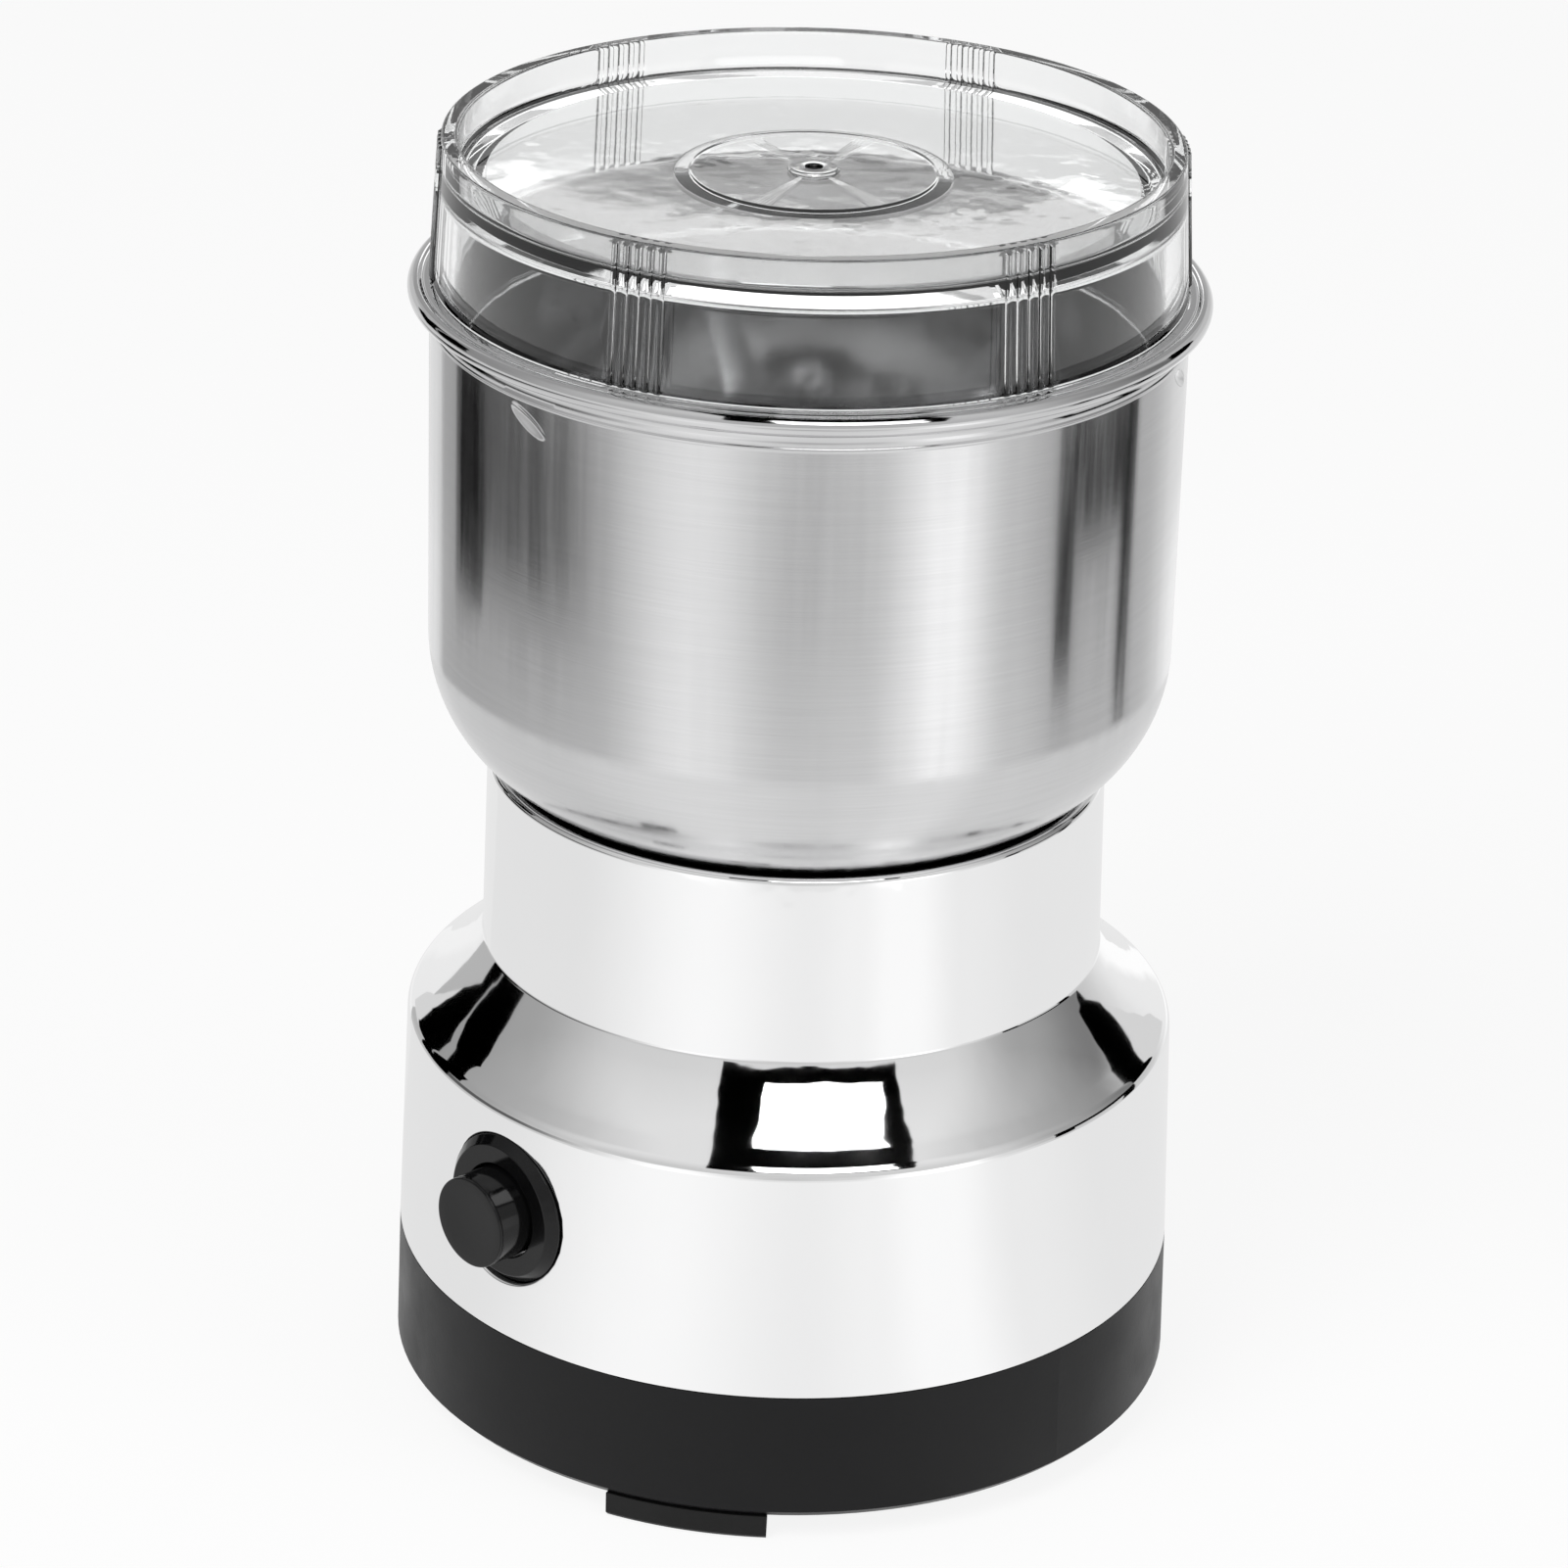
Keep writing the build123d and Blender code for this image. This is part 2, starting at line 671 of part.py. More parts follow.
# Grinding bowl: sheet-metal cup, round at the foot, with a hollow under its rolled rim.
with BuildPart() as grinding_bowl:
    for dimple_place in dimple_places:
        with Locations(dimple_place):
            Sphere(dimple_ball + bowl_wall)
    with BuildSketch(Plane.XY.offset(bowl_floor)):
        Circle(bowl_radius - bowl_wall / 2)
    extrude(amount=bowl_height, mode=Mode.INTERSECT)
    with BuildSketch(Plane.XZ) as bowl_section:
        with BuildLine():
            corner_start = bowl_radius - bowl_corner_radius
            underside = Line((hub_stem_radius + fit_gap, bowl_bottom), (corner_start, bowl_bottom))
            outer_corner = TangentArc(
                underside @ 1,
                (bowl_radius, bowl_bottom + bowl_corner_radius),
                tangent=(1, 0),
            )
            outer_wall = Line(outer_corner @ 1, (bowl_radius, rim_top - 2 * rim_roll_radius - rim_cove))
            cove = TangentArc(
                outer_wall @ 1,
                (rim_radius - rim_roll_radius, rim_top - 2 * rim_roll_radius),
                tangent=(0, 1),
            )
            roll = ThreePointArc(
                cove @ 1,
                (rim_radius, rim_top - rim_roll_radius),
                (rim_radius - rim_roll_radius, rim_top),
            )
            rim_flat = Line(roll @ 1, (bowl_radius - bowl_wall, rim_top))
            inner_wall = Line(rim_flat @ 1, (bowl_radius - bowl_wall, bowl_bottom + bowl_corner_radius))
            inner_corner = TangentArc(
                inner_wall @ 1,
                (corner_start, bowl_floor),
                tangent=(0, -1),
            )
            Polyline(inner_corner @ 1, (hub_stem_radius + fit_gap, bowl_floor), underside @ 0)
        make_face()
        chamfer(corner(bowl_section, bowl_radius - bowl_wall, rim_top), rim_inner_chamfer)
        with BuildLine():
            Polyline(
                (rim_radius - rim_groove_inset - rim_groove_width / 2, rim_top),
                (rim_radius - rim_groove_inset + rim_groove_width / 2, rim_top),
                (rim_radius - rim_groove_inset, rim_top - rim_groove_depth),
                close=True,
            )
        make_face(mode=Mode.SUBTRACT)
        with BuildLine():
            Polyline(
                (bowl_radius - bowl_wall / 2, rim_top - wall_bead_drop - wall_bead_height),
                (bowl_radius, rim_top - wall_bead_drop - wall_bead_height),
                (bowl_radius + wall_bead_height, rim_top - wall_bead_drop),
                (bowl_radius, rim_top - wall_bead_drop + wall_bead_height),
                (bowl_radius - bowl_wall / 2, rim_top - wall_bead_drop + wall_bead_height),
                close=True,
            )
        make_face()
    revolve(axis=Axis.Z)
    for dimple_place in dimple_places:
        with Locations(dimple_place):
            Sphere(dimple_ball, mode=Mode.SUBTRACT)
finish(grinding_bowl.part, "grinding_bowl")

# Collar: the bowl's foot, a plate under the bowl with a skirt and three keys.
with BuildPart() as bowl_collar:
    with BuildSketch(Plane.XY.offset(seat_level)):
        Circle(collar_radius)
        with PolarLocations(0, fixing_count, screws_start):
            with Locations((collar_radius + (key_reach - collar_wall) / 2, 0)):
                Rectangle(key_reach + collar_wall, key_width)
    extrude(amount=collar_depth - collar_plate)
    with BuildSketch(Plane.XY.offset(bowl_bottom - collar_plate)):
        Circle(collar_radius)
    extrude(amount=collar_plate)
    with BuildSketch(Plane.XY.offset(seat_level)):
        Circle(collar_radius - collar_wall)
    extrude(amount=collar_depth - collar_plate, mode=Mode.SUBTRACT)
    with BuildSketch(Plane.XY.offset(bowl_bottom - collar_plate)):
        Circle(hub_stem_radius + fit_gap)
    extrude(amount=collar_plate, mode=Mode.SUBTRACT)
finish(bowl_collar.part, "bowl_collar")

# Bearing hub: die-cast stem through the bowl, with a flange inside and a tapered tower.
with BuildPart() as bearing_hub:
    with BuildSketch(Plane.XZ) as hub_section:
        with BuildLine():
            Polyline(
                (bushing_radius, hub_bottom),
                (hub_stem_radius, hub_bottom),
                (hub_stem_radius, bowl_floor),
                (hub_flange_radius, bowl_floor),
                (hub_flange_radius, bowl_floor + hub_flange_thickness),
                (hub_stem_radius, bowl_floor + hub_flange_thickness),
                (hub_top_radius, hub_top),
                (bushing_radius, hub_top),
                close=True,
            )
        make_face()
        flange_top = bowl_floor + hub_flange_thickness
        chamfer(corner(hub_section, hub_flange_radius, flange_top), hub_flange_thickness / 2)
        fillet(corner(hub_section, hub_stem_radius, flange_top), hub_flange_thickness)
        chamfer(corner(hub_section, hub_top_radius, hub_top), hub_flange_thickness / 3)
    revolve(axis=Axis.Z)
finish(bearing_hub.part, "bearing_hub")

# Hub nut: clamps the collar against the bowl.
with BuildPart() as hub_nut:
    with BuildSketch(Plane.XY.offset(hub_bottom)):
        RegularPolygon(hub_nut_across_flats / 2, 6, major_radius=False)
        Circle(hub_stem_radius, mode=Mode.SUBTRACT)
    extrude(amount=hub_nut_height)
finish(hub_nut.part, "hub_nut")

# Bushings of the spindle, at both ends of the hub.
for bushing_name, bushing_level in (
    ("lower_bushing", hub_bottom + bushing_inset),
    ("upper_bushing", hub_top - bushing_inset - bushing_length),
):
    with BuildPart() as bushing:
        with BuildSketch(Plane.XY.offset(bushing_level)):
            Circle(bushing_radius)
            Circle(spindle_radius + running_gap, mode=Mode.SUBTRACT)
        extrude(amount=bushing_length)
    finish(bushing.part, bushing_name)

# Spindle seal: lip ring on the hub's top.
with BuildPart() as spindle_seal:
    with BuildSketch(Plane.XZ):
        with BuildLine():
            Polyline(
                (spindle_radius + running_gap, hub_top),
                (bushing_radius + seal_lip, hub_top),
                (bushing_radius, hub_top + seal_thickness),
                (spindle_radius + running_gap, hub_top + seal_thickness),
                close=True,
            )
        make_face()
    revolve(axis=Axis.Z)
finish(spindle_seal.part, "spindle_seal")

# ========================= Spindle and blades =====================================

# Blade spindle: shaft with a shoulder under the blades and a threaded end.
with BuildPart() as blade_spindle:
    with BuildSketch(Plane.XZ) as spindle_section:
        with BuildLine():
            Polyline(
                (0, spindle_bottom),
                (spindle_radius, spindle_bottom),
                (spindle_radius, lower_blade_level - shoulder_thickness),
                (blade_spacer_radius, lower_blade_level - shoulder_thickness),
                (blade_spacer_radius, lower_blade_level),
                (spindle_thread_radius, lower_blade_level),
                (spindle_thread_radius, nut_level + spindle_thread_length),
                (0, nut_level + spindle_thread_length),
                close=True,
            )
        make_face()
    revolve(axis=Axis.Z)
finish(blade_spindle.part, "blade_spindle")


def blade(level, bend, turn, side):
    """Two-winged blade: a bent strip cut to a tapering outline with one hollow edge per wing."""
    wing_rise = (blade_radius - blade_flat_radius) * sin(radians(bend))
    wing_end = blade_flat_radius + (blade_radius - blade_flat_radius) * cos(radians(bend))
    with BuildSketch() as wing:
        with BuildLine():
            back = Line((0, -blade_root_width / 2), (blade_flat_radius, -blade_root_width / 2))
            sweep_back = SagittaArc(back @ 1, (wing_end, -blade_tip_width), -blade_tip_width / 3)
            tip = Line(sweep_back @ 1, (wing_end, 0))
            edge = SagittaArc(tip @ 1, (blade_flat_radius, blade_root_width / 2), blade_tip_width / 3)
            Polyline(edge @ 1, (0, blade_root_width / 2), back @ 0)
        make_face()
    with BuildPart() as strip:
        with BuildSketch(Plane.XZ.rotated((0, 0, turn))):
            with BuildLine():
                Polyline(
                    (-wing_end, level + side * wing_rise),
                    (-blade_flat_radius, level),
                    (blade_flat_radius, level),
                    (wing_end, level + side * wing_rise),
                    (wing_end, level + side * wing_rise + blade_thickness),
                    (blade_flat_radius, level + blade_thickness),
                    (-blade_flat_radius, level + blade_thickness),
                    (-wing_end, level + side * wing_rise + blade_thickness),
                    close=True,
                )
            make_face()
        extrude(amount=blade_root_width, both=True)
        with BuildSketch(Plane.XY.offset(level - blade_radius).rotated((0, 0, turn))):
            add(wing.sketch)
            add(wing.sketch, rotation=180)
        extrude(amount=2 * blade_radius, mode=Mode.INTERSECT)
        with BuildSketch(Plane.XY.offset(level - blade_thickness)):
            Circle(spindle_thread_radius)
        extrude(amount=3 * blade_thickness, mode=Mode.SUBTRACT)
    return strip.part


finish(blade(lower_blade_level, lower_blade_bend_angle, lower_blade_start_angle, -1), "lower_blade")
finish(blade(upper_blade_level, upper_blade_bend_angle, upper_blade_start_angle, 1), "upper_blade")

# Spacer between the blades and washer on top of them.
for ring_name, ring_level, ring_radius, ring_height in (
    ("blade_spacer", lower_blade_level + blade_thickness, blade_spacer_radius, blade_spacer_height),
    ("blade_washer", washer_level, washer_radius, washer_thickness),
):
    with BuildPart() as ring:
        with BuildSketch(Plane.XY.offset(ring_level)):
            Circle(ring_radius)
            Circle(spindle_thread_radius, mode=Mode.SUBTRACT)
        extrude(amount=ring_height)
    finish(ring.part, ring_name)

# Blade nut: domed cap nut.
with BuildPart() as blade_nut:
    with BuildSketch(Plane.XY.offset(nut_level)):
        RegularPolygon(blade_nut_across_flats / 2, 6, major_radius=False)
    extrude(amount=blade_nut_height)
    with BuildSketch(Plane.XZ):
        with BuildLine():
            nut_edge = Line((0, nut_level), (blade_nut_across_flats / 2, nut_level))
            dome_level = nut_level + blade_nut_height - blade_nut_dome
            nut_side = Line(nut_edge @ 1, (blade_nut_across_flats / 2, dome_level))
            nut_dome = ThreePointArc(
                nut_side @ 1,
                (blade_nut_across_flats / 2 - blade_nut_dome_shrink, dome_level + 3 * blade_nut_dome / 4),
                (0, nut_level + blade_nut_height),
            )
            Line(nut_dome @ 1, nut_edge @ 0)
        make_face()
    revolve(axis=Axis.Z, mode=Mode.INTERSECT)
    with BuildSketch(Plane.XY.offset(nut_level)):
        Circle(spindle_thread_radius)
    extrude(amount=spindle_thread_length, mode=Mode.SUBTRACT)
finish(blade_nut.part, "blade_nut")


# ============================ Couplings ============================================


def dogs(level, height, start):
    """Ring sectors that drive or are driven, standing on a level."""
    with BuildPart() as sectors:
        for dog_number in range(dog_count):
            dog_start = start + dog_number * 360 / dog_count - dog_angle / 2
            with BuildSketch(Plane.XZ.rotated((0, 0, dog_start))):
                with Locations(((dog_inner_radius + coupling_radius) / 2, level + height / 2)):
                    Rectangle(coupling_radius - dog_inner_radius, height)
            revolve(axis=Axis.Z, revolution_arc=dog_angle)
    return sectors.part


drive_dogs = dogs(drive_disc_bottom + coupling_disc, dog_height, 0)
driven_dogs = dogs(driven_disc_top - coupling_disc - dog_height, dog_height, 180 / dog_count)

with BuildPart() as drive_coupling:
    with BuildSketch(Plane.XY.offset(drive_disc_bottom)):
        Circle(coupling_radius)
    extrude(amount=coupling_disc)
    with BuildSketch(Plane.XY.offset(seat_bottom + shaft_gap)):
        Circle(coupling_hub_radius)
    extrude(amount=drive_disc_bottom - seat_bottom - shaft_gap)
    add(drive_dogs)
    with BuildSketch(Plane.XY.offset(seat_bottom)):
        Circle(shaft_radius)
    extrude(amount=drive_disc_bottom + coupling_disc - seat_bottom, mode=Mode.SUBTRACT)
finish(drive_coupling.part, "drive_coupling")

with BuildPart() as driven_coupling:
    with BuildSketch(Plane.XY.offset(driven_disc_top)):
        Circle(coupling_radius)
    extrude(amount=-coupling_disc)
    with BuildSketch(Plane.XY.offset(spindle_bottom)):
        Circle(coupling_hub_radius)
    extrude(amount=driven_disc_top - spindle_bottom)
    add(driven_dogs)
    with BuildSketch(Plane.XY.offset(spindle_bottom)):
        Circle(spindle_radius)
    extrude(amount=driven_disc_top - spindle_bottom, mode=Mode.SUBTRACT)
finish(driven_coupling.part, "driven_coupling")

# =============================== Motor =============================================

# Motor shaft.
with BuildPart() as motor_shaft:
    with BuildSketch(Plane.XY.offset(lower_bearing_bottom + shaft_gap)):
        Circle(shaft_radius)
    extrude(amount=drive_disc_bottom + coupling_disc - lower_bearing_bottom - shaft_gap)
finish(motor_shaft.part, "motor_shaft")

# Rotor core: laminated stack with a slot per coil side.
rotor_radius = bore_radius - air_gap
slot_middle = rotor_radius - slot_depth / 2
with BuildPart() as rotor_core:
    with BuildSketch(Plane.XY.offset(stack_bottom)):
        Circle(rotor_radius)
        Circle(shaft_radius, mode=Mode.SUBTRACT)
        with PolarLocations(slot_middle, slot_count):
            Rectangle(slot_depth, slot_width, mode=Mode.SUBTRACT)
    extrude(amount=stack_height)
finish(rotor_core.part, "rotor_core")

# Rotor winding: coil sides in the slots, joined by end turns.
with BuildPart() as rotor_winding:
    with BuildSketch(Plane.XY.offset(stack_bottom)):
        with PolarLocations(slot_middle - winding_gap, slot_count):
            Rectangle(slot_depth - 4 * winding_gap, slot_width - 2 * winding_gap)
    extrude(amount=stack_height)
    for end_level, end_side in ((stack_top, 1), (stack_bottom, -1)):
        with BuildSketch(Plane.XZ) as end_section:
            with BuildLine():
                end_top = end_level + end_side * (end_turn_height - turning_gap)
                Polyline(
                    (shaft_radius + winding_wall, end_level),
                    (rotor_radius - end_turn_inset, end_level),
                    (rotor_radius - end_turn_inset - end_turn_slope, end_top),
                    (shaft_radius + winding_wall, end_top - end_side * end_turn_slope),
                    close=True,
                )
            make_face()
        revolve(axis=Axis.Z)
finish(rotor_winding.part, "rotor_winding")

# Commutator: copper bars parted by grooves.
with BuildPart() as commutator:
    with BuildSketch(Plane.XY.offset(commutator_bottom)):
        Circle(commutator_radius)
        Circle(shaft_radius, mode=Mode.SUBTRACT)
        with PolarLocations(commutator_radius - commutator_slot_depth / 2, slot_count):
            Rectangle(2 * commutator_slot_depth, commutator_slot, mode=Mode.SUBTRACT)
    extrude(amount=commutator_height)
finish(commutator.part, "commutator")

# Cooling fan: disc with upright blades swept back from the hub.
fan_blade_middle = (fan_hub_radius + fan_radius + fan_blade_margin) / 2
with BuildPart() as cooling_fan:
    with BuildSketch(Plane.XY.offset(fan_bottom)):
        Circle(fan_radius)
    extrude(amount=fan_disc)
    with BuildSketch(Plane.XY.offset(fan_bottom)):
        Circle(fan_hub_radius)
    extrude(amount=fan_height)
    with BuildSketch(Plane.XY.offset(fan_bottom)):
        with PolarLocations(0, fan_blade_count):
            with Locations(Location((fan_blade_middle, 0, 0), (0, 0, fan_blade_sweep))):
                Rectangle(fan_radius - fan_hub_radius - fan_blade_margin, fan_blade_thickness)
        Circle(fan_radius, mode=Mode.INTERSECT)
    extrude(amount=fan_height)
    with BuildSketch(Plane.XY.offset(fan_bottom)):
        Circle(shaft_radius)
    extrude(amount=fan_height, mode=Mode.SUBTRACT)
finish(cooling_fan.part, "cooling_fan")

# Stator core: yoke with two pole shoes and an ear for each long bolt.
shoe_across = stator_radius * sin(radians(pole_shoe_angle))
shoe_up = stator_radius * cos(radians(pole_shoe_angle))
with BuildPart() as stator_core:
    with BuildSketch(Plane.XY.offset(stack_bottom)):
        Circle(stator_radius)
        Rectangle(2 * stator_radius, 2 * stator_flat, mode=Mode.INTERSECT)
        with GridLocations(2 * bolt_circle, 0, 2, 1):
            Circle(ear_radius)
        Circle(yoke_radius, mode=Mode.SUBTRACT)
    extrude(amount=stack_height)
    with BuildSketch(Plane.XY.offset(stack_bottom)):
        for pole_side in (-1, 1):
            with BuildLine():
                Polyline(
                    (0, 0),
                    (shoe_across, pole_side * shoe_up),
                    (stator_radius, pole_side * stator_radius),
                    (-stator_radius, pole_side * stator_radius),
                    (-shoe_across, pole_side * shoe_up),
                    close=True,
                )
            make_face()
        Circle(pole_shoe_radius, mode=Mode.INTERSECT)
        Rectangle(2 * pole_half_width, 2 * (yoke_radius + coil_gap))
        Circle(bore_radius, mode=Mode.SUBTRACT)
    extrude(amount=stack_height)
    with BuildSketch(Plane.XY.offset(stack_bottom)):
        with GridLocations(2 * bolt_circle, 0, 2, 1):
            Circle(bolt_radius + shaft_gap)
    extrude(amount=stack_height, mode=Mode.SUBTRACT)
finish(stator_core.part, "stator_core")

# Field coils: one saddle round each pole.
coil_across = stator_radius * sin(radians(coil_angle))
coil_up = stator_radius * cos(radians(coil_angle))
with BuildPart() as field_coils:
    with BuildSketch(Plane.XY.offset(stack_bottom - end_turn_height)):
        Circle(coil_outer_radius)
        Circle(coil_inner_radius, mode=Mode.SUBTRACT)
        for coil_side in (-1, 1):
            with BuildLine():
                Polyline(
                    (0, 0),
                    (coil_side * coil_across, coil_up),
                    (coil_side * 2 * stator_radius, 0),
                    (coil_side * coil_across, -coil_up),
                    close=True,
                )
            make_face(mode=Mode.SUBTRACT)
    extrude(amount=stack_height + 2 * end_turn_height)
    with BuildSketch(Plane.XY.offset(stack_bottom - coil_gap)):
        Rectangle(2 * (pole_half_width + coil_gap), 2 * stator_radius)
    extrude(amount=stack_height + 2 * coil_gap, mode=Mode.SUBTRACT)
finish(field_coils.part, "field_coils")

# Upper bracket: cross with posts for the long bolts, ears for the mounting screws and
# the seat of the upper bearing.
with BuildPart() as upper_bracket:
    with BuildSketch(Plane.XY.offset(bracket_top)):
        SlotCenterToCenter(2 * bolt_circle, 2 * ear_radius)
        SlotCenterToCenter(2 * mount_screw_circle, 2 * mount_radius, rotation=90)
        Circle(bracket_radius)
    extrude(amount=-bracket_thickness)
    with BuildSketch(Plane.XY.offset(upper_boss_bottom)):
        Circle(boss_radius)
    extrude(amount=bracket_top - upper_boss_bottom)
    with BuildSketch(Plane.XY.offset(stack_top)):
        with GridLocations(2 * bolt_circle, 0, 2, 1):
            Circle(ear_radius)
    extrude(amount=bracket_top - stack_top)
    with BuildSketch(Plane.XY.offset(bracket_top)):
        Circle(bearing_radius)
    extrude(amount=upper_bearing_top - bearing_length - bracket_top, mode=Mode.SUBTRACT)
    with BuildSketch(Plane.XY.offset(upper_boss_bottom)):
        Circle(shaft_radius + fit_gap)
    extrude(amount=bracket_top - upper_boss_bottom, mode=Mode.SUBTRACT)
    with BuildSketch(Plane.XY.offset(bracket_top)):
        with GridLocations(2 * bolt_circle, 0, 2, 1):
            Circle(bolt_radius)
    extrude(amount=stack_top - bracket_top, mode=Mode.SUBTRACT)
    with BuildSketch(Plane.XY.offset(bracket_top)):
        with PolarLocations(mount_screw_circle, 2, 90):
            Circle(mount_screw_radius + fit_gap)
    extrude(amount=-bracket_thickness, mode=Mode.SUBTRACT)
finish(upper_bracket.part, "upper_bracket")

# Lower bracket: cross with posts for the long bolts, arms for the brush holders and
# the seat of the lower bearing.
with BuildPart() as lower_bracket:
    with BuildSketch(Plane.XY.offset(lower_bracket_bottom)):
        SlotCenterToCenter(2 * bolt_circle, 2 * ear_radius)
        Rectangle(brush_width + 2 * brush_wall, 2 * brush_holder_end)
        Circle(bracket_radius)
    extrude(amount=bracket_thickness)
    with BuildSketch(Plane.XY.offset(lower_boss_bottom)):
        Circle(boss_radius)
    extrude(amount=lower_bracket_top - lower_boss_bottom)
    with BuildSketch(Plane.XY.offset(lower_bracket_bottom)):
        with GridLocations(2 * bolt_circle, 0, 2, 1):
            Circle(ear_radius)
    extrude(amount=stack_bottom - lower_bracket_bottom)
    with BuildSketch(Plane.XY.offset(lower_bearing_bottom)):
        Circle(bearing_radius)
    extrude(amount=lower_bracket_top - lower_bearing_bottom, mode=Mode.SUBTRACT)
    with BuildSketch(Plane.XY.offset(lower_bracket_bottom)):
        with GridLocations(2 * bolt_circle, 0, 2, 1):
            Circle(bolt_radius + shaft_gap)
    extrude(amount=stack_bottom - lower_bracket_bottom, mode=Mode.SUBTRACT)
finish(lower_bracket.part, "lower_bracket")

# Motor bearings.
for bearing_name, bearing_level in (
    ("lower_bearing", lower_bearing_bottom),
    ("upper_bearing", upper_bearing_top - bearing_length),
):
    with BuildPart() as bearing:
        with BuildSketch(Plane.XY.offset(bearing_level)):
            Circle(bearing_radius)
            Circle(shaft_radius + running_gap, mode=Mode.SUBTRACT)
        extrude(amount=bearing_length)
    finish(bearing.part, bearing_name)

# Motor bolts: heads under the lower bracket, threads in the upper one.
with BuildPart() as motor_bolts:
    with BuildSketch(Plane.XY.offset(lower_bracket_bottom)):
        with GridLocations(2 * bolt_circle, 0, 2, 1):
            Circle(bolt_radius)
    extrude(amount=bracket_top - lower_bracket_bottom)
    with BuildSketch(Plane.XY.offset(lower_bracket_bottom)):
        with GridLocations(2 * bolt_circle, 0, 2, 1):
            RegularPolygon(bolt_head_radius, 6)
    extrude(amount=-bolt_radius)
finish(motor_bolts.part, "motor_bolts")

# Rubber mounts between the upper bracket and the seat, and the screws through them.
with BuildPart() as rubber_mounts:
    with BuildSketch(Plane.XY.offset(bracket_top)):
        with PolarLocations(mount_screw_circle, 2, 90):
            Circle(mount_radius)
            Circle(mount_screw_radius + shaft_gap, mode=Mode.SUBTRACT)
    extrude(amount=mount_thickness)
finish(rubber_mounts.part, "rubber_mounts")

with BuildPart() as mount_screws:
    with BuildSketch(Plane.XY.offset(bracket_top - bracket_thickness)):
        with PolarLocations(mount_screw_circle, 2, 90):
            Circle(mount_screw_radius)
    extrude(amount=bracket_thickness + mount_thickness + motor_screw_reach)
    with BuildSketch(Plane.XY.offset(bracket_top - bracket_thickness)):
        with PolarLocations(mount_screw_circle, 2, 90):
            Circle(2 * mount_screw_radius)
    extrude(amount=-mount_screw_radius)
finish(mount_screws.part, "mount_screws")

# Motor cup: rubber cup that steadies the lower bearing's boss on the base floor.
with BuildPart() as motor_cup:
    with BuildSketch(Plane.XY.offset(floor_top)):
        Circle(boss_radius + cup_wall)
    extrude(amount=cup_thickness + post_height)
    with BuildSketch(Plane.XY.offset(floor_top + cup_thickness)):
        Circle(boss_radius)
    extrude(amount=post_height, mode=Mode.SUBTRACT)
finish(motor_cup.part, "motor_cup")

# Brush holders: square tubes on feet, one each side of the commutator.
brush_level = commutator_bottom + commutator_height / 2
with BuildPart() as brush_holders:
    for holder_side in (-1, 1):
        with BuildSketch(Plane.XZ.offset(-holder_side * holder_start)):
            with Locations((0, brush_level)):
                Rectangle(brush_width + 2 * brush_wall, brush_height + 2 * brush_wall)
            with Locations((0, (lower_bracket_top + brush_level) / 2)):
                Rectangle(brush_width, brush_level - lower_bracket_top)
            with Locations((0, brush_level)):
                Rectangle(brush_width + 2 * brush_gap, brush_height + 2 * brush_gap, mode=Mode.SUBTRACT)
        extrude(amount=-holder_side * (brush_holder_end - holder_start))
        with BuildSketch(Plane.XZ.offset(-holder_side * brush_holder_end)):
            with Locations((0, brush_level)):
                Rectangle(brush_width + 2 * brush_wall, brush_height + 2 * brush_wall)
        extrude(amount=holder_side * brush_wall)
finish(brush_holders.part, "brush_holders")

# Carbon brushes, hollowed to the commutator.
with BuildPart() as carbon_brushes:
    with BuildSketch(Plane.XZ):
        with Locations((0, brush_level)):
            Rectangle(brush_width, brush_height)
    extrude(amount=commutator_radius + brush_length, both=True)
    with BuildSketch(Plane.XY.offset(commutator_bottom)):
        Circle(commutator_radius + brush_gap)
    extrude(amount=commutator_height, mode=Mode.SUBTRACT)
finish(carbon_brushes.part, "carbon_brushes")

# Brush springs: folded strips between each brush and the end of its holder.
spring_start = commutator_radius + brush_length
fold_length = (brush_holder_end - brush_wall - spring_start) / brush_spring_folds
fold_reach = brush_height / 2 - brush_spring_strip
with BuildPart() as brush_springs:
    for spring_side in (-1, 1):
        lower_side = []
        upper_side = []
        for fold in range(brush_spring_folds + 1):
            fold_place = spring_side * (spring_start + fold * fold_length)
            fold_level = brush_level + (fold_reach if fold % 2 else -fold_reach)
            lower_side.append((fold_place, fold_level - brush_spring_strip))
            upper_side.append((fold_place, fold_level + brush_spring_strip))
        with BuildSketch(Plane.YZ):
            with BuildLine():
                Polyline(*lower_side, *reversed(upper_side), close=True)
            make_face()
        extrude(amount=brush_spring_width / 2, both=True)
finish(brush_springs.part, "brush_springs")

# ========================= Push button and switch =====================================

# Bezel: black ring with a bevelled edge, a flat face and a tube into the housing.
with BuildPart() as button_bezel:
    with BuildSketch(button_level):
        with BuildLine():
            Polyline(
                (bezel_tube_radius, -bezel_tube_end),
                (bezel_tube_radius, -bezel_seat),
                (bezel_radius, -bezel_seat),
                (bezel_radius, -bezel_face + bezel_bevel_depth),
                (bezel_radius - bezel_bevel_width, -bezel_face),
                (cap_radius + cap_gap, -bezel_face),
                (cap_radius + cap_gap, -cap_flange_front),
                (cap_radius + cap_flange + cap_gap, -cap_flange_front),
                (cap_radius + cap_flange + cap_gap, -bezel_tube_end),
                close=True,
            )
        make_face()
    revolve(axis=button_axis)
finish(button_bezel.part, "button_bezel")

